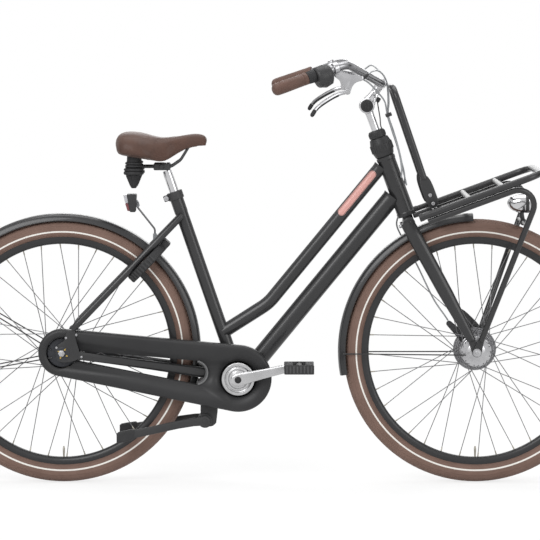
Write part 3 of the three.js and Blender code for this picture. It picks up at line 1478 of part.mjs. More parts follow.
// The upright loop behind the deck, on two flattened feet
function carrier_back() {
  const foot = carrier_rail_level + carrier_cross_radius + seat_gap;
  const tube_foot = foot + back_plate_height * 0.9;
  const x = back_loop_reach;
  const top_x = x + back_loop_lean;
  const loop = sweep(bent_points([
    v(x, -back_loop_y, tube_foot), v(top_x, -back_loop_y, back_loop_top),
    v(top_x, back_loop_y, back_loop_top), v(x, back_loop_y, tube_foot),
  ], back_loop_corner_radius, 3), round_shape(back_loop_radius, 8));
  const half = back_plate_width / 2;
  const outline = new THREE.Shape([
    new THREE.Vector2(x - half, foot), new THREE.Vector2(x + half, foot),
    new THREE.Vector2(x + half, foot + back_plate_height * 0.75),
    new THREE.Vector2(x + back_loop_radius, foot + back_plate_height),
    new THREE.Vector2(x - back_loop_radius, foot + back_plate_height),
    new THREE.Vector2(x - half, foot + back_plate_height * 0.75),
  ]);
  const leg = plate(outline, back_loop_y - back_plate_thickness / 2, back_plate_thickness);
  return join(loop, leg, mirrored(leg));
}

// The headlamp shell with the stem that stands on the struts' cross bar
function headlamp() {
  const half = headlamp_length / 2;
  const shell = turned_upright([
    [0, -half], [headlamp_tail_radius, -half], [headlamp_radius * 0.65, -half * 0.75],
    [headlamp_radius * 0.93, -half * 0.3], [headlamp_radius, half * 0.3], [headlamp_radius, half * 0.8],
    [headlamp_radius * 0.7, half], [0, half],
  ], 12);
  const place = v(headlamp_reach, 0, headlamp_level);
  const ahead = v(Math.cos(head_tilt), 0, -Math.sin(head_tilt));
  const share = (strut_bar_drop + strut_level) / (strut_foot_rise - fork_length - strut_level);
  const bar_x = strut_corner_reach + (fork_offset + strut_foot_lead - strut_corner_reach) * -share;
  const stem_foot = v(bar_x, 0, -strut_bar_drop);
  const stem = rod(place, stem_foot, headlamp_stem_radius, 8);
  const seat = cross_rod(bar_x, -strut_bar_drop, headlamp_radius, clear_radius(strut_bar_radius, 8), 8);
  return cut(join(aimed(shell, place, ahead), stem), seat);
}

// A cable through chosen points of its route
function cable(route) {
  const curve = new THREE.CatmullRomCurve3(route, false, 'centripetal');
  return sweep(curve.getSpacedPoints(cable_steps), round_shape(cable_radius, 6));
}

// Assembly, from the rear axle's foot, shifted so that the origin is midway along
const bicycle = new THREE.Group();
const frame = new THREE.Group();
frame.position.x = (mudguard_radius - wheelbase - wheel_radius) / 2;
bicycle.add(frame);

const rear_wheel = new THREE.Group();
rear_wheel.position.copy(rear_axle);
frame.add(rear_wheel);
add_wheel(rear_wheel, 'rear', rear_flange_radius);
add(rear_wheel, 'rear_sprocket', rear_sprocket(), dark_steel);
add(rear_wheel, 'rear_axle', axle(dropout_outer_y), bright_metal);
add(rear_wheel, 'rear_brake', roller_brake(
  rear_brake_disc_radius, rear_brake_length, rear_brake_arm_length, -8.5 * degree,
), dark_steel);
add(rear_wheel, 'rear_mudguard', held_mudguard(rear_mudguard_from, rear_mudguard_to, [
  [stay_shoulder.clone().sub(rear_axle), stay_bridge_radius, bridge_sides],
  [
    v(chainstay_bridge_x, 0, chainstay_level(chainstay_bridge_x)).sub(rear_axle),
    stay_bridge_radius, bridge_sides,
  ],
]), black_paint);

const lock = new THREE.Group();
lock.rotation.y = -lock_angle;
lock.position.copy(lock_side).multiplyScalar(lock_shift);
rear_wheel.add(lock);
add(lock, 'ring_lock', ring_lock(), black_plastic);
add(lock, 'ring_lock_bolt', lock_bolt(), bright_metal);

add(frame, 'down_tube', down_tube(), black_paint);
add(frame, 'top_tube', top_tube(), black_paint);
add(frame, 'seat_tube', seat_tube(), black_paint);
add(frame, 'chainstays', chainstays(), black_paint);
add(frame, 'seat_stays', seat_stays(), black_paint);
add(frame, 'chain_case', chain_case(), black_paint);
add(frame, 'chain', chain(), dark_steel);
add(frame, 'stand_bracket', stand_bracket(), black_paint);
add(frame, 'rear_lamp', rear_lamp(), lamp_red);

const stand_group = new THREE.Group();
stand_group.position.set(stand_pivot_x, 0, stand_pivot_z);
frame.add(stand_group);
add(stand_group, 'centre_stand', stand(), black_paint);

// The crank set turns with the right arm ahead; each pedal stays level
const crank_set = new THREE.Group();
crank_set.position.copy(bracket);
crank_set.rotation.y = -crank_angle;
frame.add(crank_set);
add(crank_set, 'crank_axle', crank_axle(), dark_steel);
add(crank_set, 'crank_right', crank_right(), bright_metal);
add(crank_set, 'crank_left', crank_arm(1).rotateY(Math.PI), bright_metal);
[[-1, 'pedal_right'], [1, 'pedal_left']].forEach(([side, name]) => {
  const pedal_group = new THREE.Group();
  pedal_group.position.x = -side * crank_length;
  pedal_group.rotation.y = crank_angle;
  crank_set.add(pedal_group);
  add(pedal_group, name, side > 0 ? pedal() : mirrored(pedal()), black_rubber);
});

// Seat post and saddle
const seat_group = new THREE.Group();
seat_group.position.copy(saddle_pivot);
frame.add(seat_group);
add(seat_group, 'seat_post', aimed(seat_post(), v(0, 0, 0), seat_up), bright_metal);
add(seat_group, 'saddle_undercarriage', saddle_undercarriage(), black_plastic);
add(frame, 'saddle_cover', saddle_cover(), brown_leather);
const clamp_place = along(bracket, seat_up, seat_tube_length);
add(frame, 'seat_clamp', aimed(seat_clamp(), clamp_place, seat_up), black_paint);

// Everything in the steering frame: z runs up the head tube, x ahead of it
const steering = new THREE.Group();
steering.position.copy(head_foot);
steering.rotation.y = -head_tilt;
frame.add(steering);
add(steering, 'head_tube', head_tube(), black_paint);
add(steering, 'lock_housing', lock_housing(), black_plastic);
add(steering, 'fork', fork(), black_paint);
add(steering, 'stem_quill', stem_quill(), bright_metal);
add(steering, 'carrier_deck', carrier_deck(), black_paint);
add(steering, 'carrier_struts', carrier_struts(), black_paint);
add(steering, 'carrier_back', carrier_back(), black_paint);
add(steering, 'headlamp', headlamp(), bright_metal);

const front_wheel = new THREE.Group();
front_wheel.position.set(fork_offset, 0, -fork_length);
front_wheel.rotation.y = head_tilt;
steering.add(front_wheel);
add_wheel(front_wheel, 'front', front_flange_radius);
const strut_outer_y = fork_tip_inner_y + fork_tip_thickness + seat_gap + strut_eye_thickness;
add(front_wheel, 'front_axle', axle(strut_outer_y), bright_metal);
add(front_wheel, 'front_brake', roller_brake(
  front_brake_disc_radius, front_brake_length, front_brake_arm_length, 135 * degree,
), dark_steel);
const crown_place = v(-fork_offset - blade_setback / 4, 0, fork_length - crown_drop);
add(front_wheel, 'front_mudguard', held_mudguard(front_mudguard_from, front_mudguard_to, [
  [crown_place.applyAxisAngle(v(0, 1, 0), -head_tilt), crown_radius, 12],
]), black_paint);

const cockpit = new THREE.Group();
cockpit.position.z = stem_pivot_height;
cockpit.rotation.y = head_tilt;
steering.add(cockpit);
add(cockpit, 'stem_arm', stem_arm(), bright_metal);
add(cockpit, 'handlebar', handlebar(), bright_metal);
add(cockpit, 'grip_left', grip(grip_left_length), brown_leather);
add(cockpit, 'grip_right', mirrored(grip(grip_right_length)), brown_leather);
add(cockpit, 'shift_grip', mirrored(bar_sleeve(
  twist_from, twist_from + twist_length, twist_end_radius, twist_radius,
)), black_rubber);
add(cockpit, 'shifter_housing', mirrored(shifter_housing()), black_plastic);
[[1, 'left'], [-1, 'right']].forEach(([side, name]) => {
  const handed = (geometry) => (side > 0 ? geometry : mirrored(geometry));
  add(cockpit, `brake_bracket_${name}`, handed(brake_bracket()), bright_metal);
  add(cockpit, `brake_lever_${name}`, handed(brake_lever()), bright_metal);
});

// Cable routes in the steering frame; their upper points are measured from the stem's pivot
const from_pivot = (x, y, z) => (
  v(x, y, z).applyAxisAngle(v(0, 1, 0), head_tilt).add(v(0, 0, stem_pivot_height))
);
add(steering, 'cable_front_brake', cable([
  from_pivot(-15.8, 225, 80.7), from_pivot(-9.2, 225, 85), from_pivot(4, 185, 99),
  from_pivot(18, 120, 108), from_pivot(34, 60, 95),
  from_pivot(48, 31, 80), from_pivot(56.2, 25, 55.5), from_pivot(59, 13, 10), from_pivot(57, 8, -24),
  v(42, 9, 237), v(41, 12, 197), v(38, 22, 150), v(32, 40, 100), v(12, 60, 55), v(-18, 60, 20),
  v(-33, 50, -15), v(-33, 46, -50), v(-27, 44, -95), v(-20, 42, -136), v(-8, 40, -250),
  v(5, 37.8, -300), v(8.3, 37.8, -314.2),
]), grey_cable);
add(steering, 'cable_rear_brake', cable([
  from_pivot(-15.8, -225, 80.7), from_pivot(-9.2, -225, 85), from_pivot(6, -180, 95),
  from_pivot(27, -110, 97), from_pivot(46, -50, 80),
  from_pivot(56, -23, 55), from_pivot(60, -14, 10), from_pivot(58.5, 0, -24), v(45, 0, 237),
  v(43, 1, 197), v(39, 1, 158), v(33, 0, 118), v(27.8, 0, 78),
]), grey_cable);
add(steering, 'cable_shifter', cable([
  from_pivot(-107.5, -213.7, 91.9), from_pivot(-96, -209.5, 95.5), from_pivot(-60, -186, 90),
  from_pivot(-28, -150, 80), from_pivot(0, -105, 66), from_pivot(26, -50, 40), from_pivot(48, -26, 12),
  from_pivot(56, -9, -24), v(42, -8, 237), v(41, -9, 197), v(36, -12, 150), v(28, -18, 120),
  v(21, -20.5, 104),
]), grey_cable);

export default bicycle;
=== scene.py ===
import json
import math
import bmesh
import bpy
from mathutils import Matrix, Vector
from mathutils.geometry import delaunay_2d_cdt

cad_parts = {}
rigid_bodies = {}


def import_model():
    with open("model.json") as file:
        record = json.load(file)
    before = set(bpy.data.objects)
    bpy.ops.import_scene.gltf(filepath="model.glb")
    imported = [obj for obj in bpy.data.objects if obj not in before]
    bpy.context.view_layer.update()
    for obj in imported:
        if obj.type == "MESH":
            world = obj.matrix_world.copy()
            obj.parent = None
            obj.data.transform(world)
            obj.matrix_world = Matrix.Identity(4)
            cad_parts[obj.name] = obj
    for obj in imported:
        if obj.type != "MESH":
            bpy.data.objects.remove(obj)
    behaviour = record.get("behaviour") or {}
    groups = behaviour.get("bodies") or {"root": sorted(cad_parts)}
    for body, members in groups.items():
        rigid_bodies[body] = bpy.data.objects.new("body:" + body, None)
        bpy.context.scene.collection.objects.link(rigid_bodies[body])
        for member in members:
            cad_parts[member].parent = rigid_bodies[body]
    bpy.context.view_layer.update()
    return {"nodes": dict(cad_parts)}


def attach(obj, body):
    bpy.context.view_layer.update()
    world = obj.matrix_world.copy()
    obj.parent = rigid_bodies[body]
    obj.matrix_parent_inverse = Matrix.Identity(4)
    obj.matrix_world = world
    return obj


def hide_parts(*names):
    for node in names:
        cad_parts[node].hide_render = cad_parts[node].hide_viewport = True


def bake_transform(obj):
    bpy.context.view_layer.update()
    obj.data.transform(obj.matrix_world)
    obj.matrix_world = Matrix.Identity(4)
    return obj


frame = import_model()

# Studio: a pale floor under the tyres, large soft lamps and a long lens at
# saddle height, square to the bicycle's right side as in a catalogue picture.
scene = bpy.context.scene
scene.view_settings.view_transform = "Standard"
view_target = Vector((0.0095, 0, 0.5836))
view_distance = 8.6
view_rise = math.radians(4.7)
camera_data = bpy.data.cameras.new("catalogue_camera")
camera_data.lens = 209.4
camera_data.clip_end = 60
camera = bpy.data.objects.new("catalogue_camera", camera_data)
camera.location = view_target + view_distance * Vector((0, -math.cos(view_rise), math.sin(view_rise)))
camera.rotation_euler = (math.pi / 2 - view_rise, 0, 0)
scene.collection.objects.link(camera)
scene.camera = camera


def soft_lamp(name, place, size, power):
    data = bpy.data.lights.new(name, "AREA")
    data.shape = "RECTANGLE"
    data.size, data.size_y = size
    data.energy = power
    lamp = bpy.data.objects.new(name, data)
    lamp.location = place
    lamp.rotation_euler = (view_target - Vector(place)).to_track_quat("-Z", "Y").to_euler()
    scene.collection.objects.link(lamp)


soft_lamp("key_lamp", (-2.2, -3.6, 3.4), (3.2, 2.4), 140)
soft_lamp("fill_lamp", (3.4, -3.0, 1.9), (2.4, 2.4), 50)
soft_lamp("top_lamp", (0.2, 0.6, 4.2), (4.0, 2.6), 90)
soft_lamp("back_lamp", (0.6, 4.0, 2.4), (3.4, 2.0), 50)


def dark_card(name, place, size):
    """A black card beside the set, met only by reflections, which gives bright metal its dark lines."""
    bm = bmesh.new()
    bmesh.ops.create_grid(bm, x_segments=1, y_segments=1, size=0.5)
    mesh = bpy.data.meshes.new(name)
    bmesh.ops.scale(bm, vec=(*size, 1), verts=bm.verts)
    turn = (view_target - Vector(place)).to_track_quat("Z", "Y").to_matrix().to_4x4()
    bmesh.ops.transform(bm, matrix=Matrix.Translation(place) @ turn, verts=bm.verts)
    bm.to_mesh(mesh)
    bm.free()
    card = bpy.data.objects.new(name, mesh)
    scene.collection.objects.link(card)
    black = bpy.data.materials.new(name)
    black.use_nodes = True
    black.node_tree.nodes["Principled BSDF"].inputs["Base Color"].default_value = (0.02, 0.02, 0.02, 1)
    mesh.materials.append(black)
    card.visible_camera = card.visible_diffuse = card.visible_shadow = card.visible_transmission = False


for hand, name in ((1, "right"), (-1, "left")):
    dark_card(f"side_card_{name}", (hand * 3.4, 0.1, 0.9), (1.1, 3.0))
    dark_card(f"edge_card_{name}", (hand * 1.9, 3.0, 1.0), (0.8, 3.0))
dark_card("top_card", (0, 1.7, 3.2), (5.0, 0.7))


def math_node(tree, operation, *values):
    node = tree.nodes.new("ShaderNodeMath")
    node.operation = operation
    for socket, value in zip(node.inputs, values):
        if isinstance(value, (int, float)):
            socket.default_value = value
        else:
            tree.links.new(value, socket)
    return node.outputs[0]


def backdrop(tree, shader, glow_kind, output, fade=None):
    """Camera, gloss and glass see a plain white backdrop; the shader lights the rest."""
    path = tree.nodes.new("ShaderNodeLightPath").outputs
    seen = math_node(tree, "MAXIMUM", path["Is Camera Ray"], path["Is Glossy Ray"])
    seen = math_node(tree, "MAXIMUM", seen, path["Is Transmission Ray"])
    if fade is not None:
        seen = math_node(tree, "MULTIPLY", seen, fade)
    glow = tree.nodes.new(glow_kind)
    glow.inputs["Color"].default_value = (1, 1, 1, 1)
    glow.inputs["Strength"].default_value = 1.0
    blend = tree.nodes.new("ShaderNodeMixShader")
    tree.links.new(seen, blend.inputs["Fac"])
    tree.links.new(shader.outputs[0], blend.inputs[1])
    tree.links.new(glow.outputs[0], blend.inputs[2])
    tree.links.new(blend.outputs[0], tree.nodes[output].inputs["Surface"])


world = bpy.data.worlds.new("studio_air")
scene.world = world
world.use_nodes = True
air = world.node_tree.nodes["Background"]
air.inputs["Color"].default_value = (1, 1, 1, 1)
air.inputs["Strength"].default_value = 0.5
backdrop(world.node_tree, air, "ShaderNodeBackground", "World Output")

floor_mesh = bpy.data.meshes.new("studio_floor")
floor_bm = bmesh.new()
bmesh.ops.create_grid(floor_bm, x_segments=2, y_segments=2, size=30)
floor_bm.to_mesh(floor_mesh)
floor_bm.free()
floor = bpy.data.objects.new("studio_floor", floor_mesh)
scene.collection.objects.link(floor)
floor_look = bpy.data.materials.new("studio_paper")
floor_look.use_nodes = True
tree = floor_look.node_tree
paper = tree.nodes["Principled BSDF"]
paper.inputs["Base Color"].default_value = (0.9, 0.9, 0.9, 1)
paper.inputs["Roughness"].default_value = 0.9
reach = tree.nodes.new("ShaderNodeVectorMath")
reach.operation = "LENGTH"
tree.links.new(tree.nodes.new("ShaderNodeTexCoord").outputs["Object"], reach.inputs[0])
fade = tree.nodes.new("ShaderNodeMapRange")
for label, value in (("From Min", 0.7), ("From Max", 2.4), ("To Min", 0.72), ("To Max", 1.0)):
    fade.inputs[label].default_value = value
tree.links.new(reach.outputs["Value"], fade.inputs["Value"])
backdrop(tree, paper, "ShaderNodeEmission", "Material Output", fade.outputs["Result"])
floor_mesh.materials.append(floor_look)

# Wheels: 622 mm black rims with brown tyres, a pale stripe on each wall, and
# plain steel spokes laced three-cross into alloy hubs, held by brass-ended nipples.
MM = 0.001
rear_x = 0.5575
rear_axle = Vector((-rear_x, 0, 0.362))
front_axle = Vector((0.5735, 0, 0.362))


def mm(x, y, z):
    """A point or a step in metres, from millimetres."""
    return Vector((x, y, z)) * MM


def joined(bm, name, finish, body, slot, sharp, *replaced):
    """A finished piece from its bmesh: cleaned, smoothed, dressed and set on its body."""
    bmesh.ops.remove_doubles(bm, verts=bm.verts, dist=0.00002)
    bmesh.ops.recalc_face_normals(bm, faces=bm.faces)
    mesh = bpy.data.meshes.new(name)
    bm.to_mesh(mesh)
    bm.free()
    return dressed(mesh, name, finish, body, slot, sharp, *replaced)


def dressed(mesh, name, finish, body, slot, sharp, *replaced):
    """The mesh as a smooth piece with its finish and body, for the nodes it replaces; the slot is not used.
    """
    mesh.shade_smooth()
    mesh.set_sharp_from_angle(angle=math.radians(sharp))
    piece = bpy.data.objects.new(name, mesh)
    scene.collection.objects.link(piece)
    mesh.materials.clear()
    mesh.materials.append(finish)
    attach(piece, body)
    if replaced:
        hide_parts(*replaced)
    return piece


def mirrored(half):
    """Half an outline of (radius, distance) points, then its mirror image."""
    return half + [(r, -s) for r, s in reversed(half) if s]


def lathe(bm, profile, place, steps, axis=(0, 1, 0), sweep=2 * math.pi, start=0.0):
    """Spins a profile of (radius, distance along) points in mm about an axis through place."""
    turn = Vector(axis).to_track_quat("Z", "X").to_matrix().to_4x4()
    put = Matrix.Translation(place) @ turn @ Matrix.Rotation(start, 4, "Z")
    points = [bm.verts.new(put @ Vector((r * MM, 0, s * MM))) for r, s in profile]
    edges = [bm.edges.new(pair) for pair in zip(points, points[1:])]
    bmesh.ops.spin(bm, geom=points + edges, cent=place, axis=put.to_3x3() @ Vector((0, 0, 1)),
                   angle=sweep, steps=steps, use_merge=sweep == 2 * math.pi, use_duplicate=False)
    bmesh.ops.remove_doubles(bm, verts=bm.verts, dist=0.000005)


def rounded(profile, radius):
    """The same profile with each inner corner turned into a small arc, in mm."""
    steps = 3
    points = [Vector(p) for p in profile]
    out = [points[0]]
    for before, here, after in zip(points, points[1:], points[2:]):
        one, two = before - here, after - here
        reach = min(radius, one.length * 0.45, two.length * 0.45)
        a, b = here + one.normalized() * reach, here + two.normalized() * reach
        for step in range(steps + 1):
            t = step / steps
            out.append((1 - t) ** 2 * a + 2 * t * (1 - t) * here + t * t * b)
    out.append(points[-1])
    return [tuple(p) for p in out]


def rods(runs, name, sides):
    """One mesh of round rods; each run is a list of (point, radius in mm)."""
    data = bpy.data.curves.new(name, "CURVE")
    data.dimensions = "3D"
    data.bevel_depth = MM
    data.bevel_resolution = max(0, (sides - 4) // 2)
    data.use_fill_caps = True
    for run in runs:
        spline = data.splines.new("POLY")
        spline.points.add(len(run) - 1)
        for point, (place, radius) in zip(spline.points, run):
            point.co = (*place, 1)
            point.radius = radius
    holder = bpy.data.objects.new(name, data)
    scene.collection.objects.link(holder)
    bpy.context.view_layer.update()
    shape = holder.evaluated_get(bpy.context.evaluated_depsgraph_get())
    mesh = bpy.data.meshes.new_from_object(shape)
    bpy.data.objects.remove(holder)
    bpy.data.curves.remove(data)
    return mesh


def rod_piece(runs, name, sides, finish, body, slot, sharp, *replaced):
    """A piece that is made of round rods alone."""
    return dressed(rods(runs, name, sides), name, finish, body, slot, sharp, *replaced)


def add_mesh(bm, mesh):
    bm.from_mesh(mesh)
    bpy.data.meshes.remove(mesh)


def add_shape(bm, other):
    """Moves what another bmesh holds into this one."""
    mesh = bpy.data.meshes.new("shape")
    other.to_mesh(mesh)
    other.free()
    add_mesh(bm, mesh)


def group_with(name, inputs, outputs):
    """An empty shader node group with named sockets: (name, kind, value)."""
    tree = bpy.data.node_groups.new(name, "ShaderNodeTree")
    for label, kind, value in inputs:
        socket = tree.interface.new_socket(label, in_out="INPUT", socket_type=kind)
        socket.default_value = value
    for label, kind in outputs:
        tree.interface.new_socket(label, in_out="OUTPUT", socket_type=kind)
    return tree, tree.nodes.new("NodeGroupInput"), tree.nodes.new("NodeGroupOutput")


def mix_colour(tree, factor, one, two):
    node = tree.nodes.new("ShaderNodeMix")
    node.data_type = "RGBA"
    for socket, value in ((node.inputs["Factor"], factor), (node.inputs[6], one), (node.inputs[7], two)):
        if isinstance(value, (int, float, tuple)):
            socket.default_value = value
        else:
            tree.links.new(value, socket)
    return node.outputs[2]


def noise_of(tree, vector, scale, detail):
    node = tree.nodes.new("ShaderNodeTexNoise")
    node.inputs["Detail"].default_value = detail
    tree.links.new(scale, node.inputs["Scale"])
    tree.links.new(vector, node.inputs["Vector"])
    return node.outputs["Fac"]


COLOUR, NUMBER, VECTOR = "NodeSocketColor", "NodeSocketFloat", "NodeSocketVector"

# Fine surface life that every finish shares: cloudy tone, grain height, wiped roughness.
grain, grain_in, grain_out = group_with("surface_grain", [
    ("Place", VECTOR, (0, 0, 0)), ("Tone", COLOUR, (0.5, 0.5, 0.5, 1)),
    ("Deep", COLOUR, (0.4, 0.4, 0.4, 1)), ("Cloud", NUMBER, 14.0), ("Grain", NUMBER, 900.0),
    ("Sheen low", NUMBER, 0.4), ("Sheen high", NUMBER, 0.6),
], [("Color", COLOUR), ("Roughness", NUMBER), ("Height", NUMBER)])
cloud = noise_of(grain, grain_in.outputs["Place"], grain_in.outputs["Cloud"], 4.0)
fine = noise_of(grain, grain_in.outputs["Place"], grain_in.outputs["Grain"], 2.0)
cloud_share = math_node(grain, "MULTIPLY_ADD", cloud, 2.2, -0.6)
cloud_share = math_node(grain, "MINIMUM", math_node(grain, "MAXIMUM", cloud_share, 0.0), 1.0)
grain.links.new(
    mix_colour(grain, cloud_share, grain_in.outputs["Deep"], grain_in.outputs["Tone"]),
    grain_out.inputs["Color"])
spread = math_node(grain, "SUBTRACT", grain_in.outputs["Sheen high"], grain_in.outputs["Sheen low"])
both = math_node(grain, "ADD", math_node(grain, "MULTIPLY", cloud_share, 0.6),
                 math_node(grain, "MULTIPLY", fine, 0.4))
grain.links.new(
    math_node(grain, "MULTIPLY_ADD", both, spread, grain_in.outputs["Sheen low"]),
    grain_out.inputs["Roughness"])
grain.links.new(fine, grain_out.inputs["Height"])


def look(name, tone, deep, sheen, cloud, grain_scale, bump, metallic=0.0, coat=0.0, specular=0.3,
         sheen_weight=0.0):
    """A finish: the shared grain feeding one Principled shader, with its own values."""
    finish = bpy.data.materials.new(name)
    finish.use_nodes = True
    tree = finish.node_tree
    shader = tree.nodes["Principled BSDF"]
    place = tree.nodes.new("ShaderNodeTexCoord")
    life = tree.nodes.new("ShaderNodeGroup")
    life.name = "life"
    life.node_tree = grain
    tree.links.new(place.outputs["Object"], life.inputs["Place"])
    life.inputs["Tone"].default_value = (*tone, 1)
    life.inputs["Deep"].default_value = (*deep, 1)
    life.inputs["Cloud"].default_value = cloud
    life.inputs["Grain"].default_value = grain_scale
    life.inputs["Sheen low"].default_value, life.inputs["Sheen high"].default_value = sheen
    tree.links.new(life.outputs["Color"], shader.inputs["Base Color"])
    tree.links.new(life.outputs["Roughness"], shader.inputs["Roughness"])
    lift = tree.nodes.new("ShaderNodeBump")
    lift.name = "lift"
    lift.inputs["Distance"].default_value = bump
    tree.links.new(life.outputs["Height"], lift.inputs["Height"])
    tree.links.new(lift.outputs["Normal"], shader.inputs["Normal"])
    shader.inputs["Metallic"].default_value = metallic
    shader.inputs["Coat Weight"].default_value = coat
    shader.inputs["Sheen Weight"].default_value = sheen_weight
    shader.inputs["Specular IOR Level"].default_value = specular
    return finish


def object_place(tree, offset):
    """Object coordinates moved so that offset becomes the zero point."""
    place = tree.nodes.new("ShaderNodeTexCoord")
    shift = tree.nodes.new("ShaderNodeMapping")
    shift.inputs["Location"].default_value = [-value for value in offset]
    tree.links.new(place.outputs["Object"], shift.inputs["Vector"])
    return shift.outputs["Vector"]


def parts_of(tree, vector):
    node = tree.nodes.new("ShaderNodeSeparateXYZ")
    tree.links.new(vector, node.inputs[0])
    return node.outputs


def repaint(finish, colour):
    shader = finish.node_tree.nodes["Principled BSDF"]
    finish.node_tree.links.new(colour, shader.inputs["Base Color"])


def reraise(finish, height, distance):
    lift = finish.node_tree.nodes["lift"]
    finish.node_tree.links.new(height, lift.inputs["Height"])
    lift.inputs["Distance"].default_value = distance


def band(tree, value, low, high, soft):
    """1 between low and high, falling to 0 over the soft width outside."""
    rise = math_node(tree, "DIVIDE", math_node(tree, "SUBTRACT", value, low - soft), soft)
    fall = math_node(tree, "DIVIDE", math_node(tree, "SUBTRACT", high + soft, value), soft)
    least = math_node(tree, "MINIMUM", rise, fall)
    return math_node(tree, "MINIMUM", math_node(tree, "MAXIMUM", least, 0.0), 1.0)


def tyre_look(name, axle):
    """Brown rubber with an off-white stripe on the wall and a shallow rib tread."""
    finish = look(name, (0.172, 0.108, 0.086), (0.135, 0.082, 0.064), (0.62, 0.8), 22.0, 1300.0, 0.00008)
    tree = finish.node_tree
    x, y, z = parts_of(tree, object_place(tree, axle))[:3]
    radius = math_node(tree, "SQRT", math_node(
        tree, "ADD", math_node(tree, "POWER", x, 2.0), math_node(tree, "POWER", z, 2.0)))
    stripe = band(tree, radius, 0.3262, 0.3298, 0.0006)
    repaint(finish, mix_colour(
        tree, stripe, tree.nodes["life"].outputs["Color"], (0.72, 0.70, 0.66, 1)))
    angle = math_node(tree, "ARCTAN2", z, x)
    across = math_node(tree, "ABSOLUTE", y)
    blocks = math_node(tree, "SINE", math_node(
        tree, "ADD", math_node(tree, "MULTIPLY", angle, 220.0), math_node(tree, "MULTIPLY", across, 420.0)))
    grooves = math_node(tree, "SINE", math_node(tree, "MULTIPLY", y, 900.0))
    tread = math_node(tree, "MULTIPLY", band(tree, radius, 0.3535, 0.4, 0.003), math_node(
        tree, "MAXIMUM", blocks, grooves))
    wall = math_node(tree, "MULTIPLY", band(tree, radius, 0.3395, 0.3425, 0.0008), 0.8)
    height = math_node(tree, "ADD", math_node(tree, "ADD", tread, wall), math_node(
        tree, "MULTIPLY", tree.nodes["life"].outputs["Height"], 0.25))
    reraise(finish, height, 0.0007)
    return finish


tyre_profile = [
    (303.4, 8.0), (311.0, 8.2), (313.9, 12.6), (317.0, 17.0), (323.0, 22.0), (330.0, 24.5), (337.0, 25.0),
    (344.5, 23.8), (351.0, 20.0), (356.0, 14.6), (359.6, 8.4), (361.4, 3.2), (361.9, 0.0)]
rim_well = [(313.4, 12.5), (312.8, 8.6), (304.2, 8.4), (303.6, 4.0)]
rim_back = [(308.0, -12.9), (300.0, -11.6), (294.8, -7.6), (293.4, -3.0), (293.2, 0.0)]
rim_black = look("anodised_black", (0.02, 0.02, 0.021), (0.015, 0.015, 0.016), (0.32, 0.48), 9.0, 500.0,
                 0.00002, coat=0.15)
spoke_wire = look("drawn_wire", (0.2, 0.2, 0.205), (0.13, 0.13, 0.135), (0.34, 0.5), 60.0, 700.0, 0.00001,
                  metallic=0.85)
nipple_brass = look("nickelled_brass", (0.34, 0.32, 0.28), (0.25, 0.235, 0.2), (0.3, 0.45), 50.0, 600.0,
                    0.00001, metallic=0.9)
hub_alloy = look("polished_hub", (0.5, 0.5, 0.51), (0.36, 0.36, 0.37), (0.22, 0.4), 30.0, 420.0, 0.00001,
                 metallic=0.95)
spokes_per_side, spoke_crossings, flange_y = 18, 3, 28.0
bent_radius, wire_radius = 2.1, 1.15


def on_wheel(axle, radius, turn, y):
    return axle + mm(radius * math.cos(turn), y, radius * math.sin(turn))


def laced_spokes(axle, flange_radius, gap_turn):
    """Straight-gauge wires, each hooked through a flange and screwed into the rim."""
    pitch = 2 * math.pi / spokes_per_side
    wires, nipples = [], []
    for side in (1, -1):
        for index in range(spokes_per_side):
            turn = gap_turn + side * pitch / 4 + (index + 1) * pitch
            hand = 1 if index % 2 == 0 else -1
            hole = flange_radius - 3.7
            elbow = side * flange_y + hand * 3.0
            far = turn + hand * spoke_crossings * pitch
            a = on_wheel(axle, hole, turn, side * flange_y - hand * 2.6)
            b = on_wheel(axle, hole, turn, elbow)
            c = on_wheel(axle, 294.5, far, side * 2.0)
            way = (c - b).normalized()
            straight = [a.lerp(b, 0.2), a.lerp(b, 0.75), b + way * 1.4 * MM, c]
            wires.append([(a, bent_radius), (a.lerp(b, 0.16), bent_radius)]
                         + [(place, wire_radius) for place in straight])
            nipples.append([(c - way * 13 * MM, 1.2), (c - way * 12 * MM, 1.75), (c - way * 1.6 * MM, 1.9),
                            (c + way * 0.6 * MM, 2.3)])
    return wires, nipples


def valve_on(axle, turn):
    """A thin brass valve stem with its locknut and dust cap, standing in from the rim."""
    way = Vector((math.cos(turn), 0, math.sin(turn)))
    steps = [(294.6, 3.2), (292.2, 3.2), (292.2, 2.4), (277.0, 2.4), (277.0, 3.1), (269.0, 3.0),
             (268.0, 2.2), (264.0, 2.0)]
    return [(axle + way * r * MM, size) for r, size in steps]


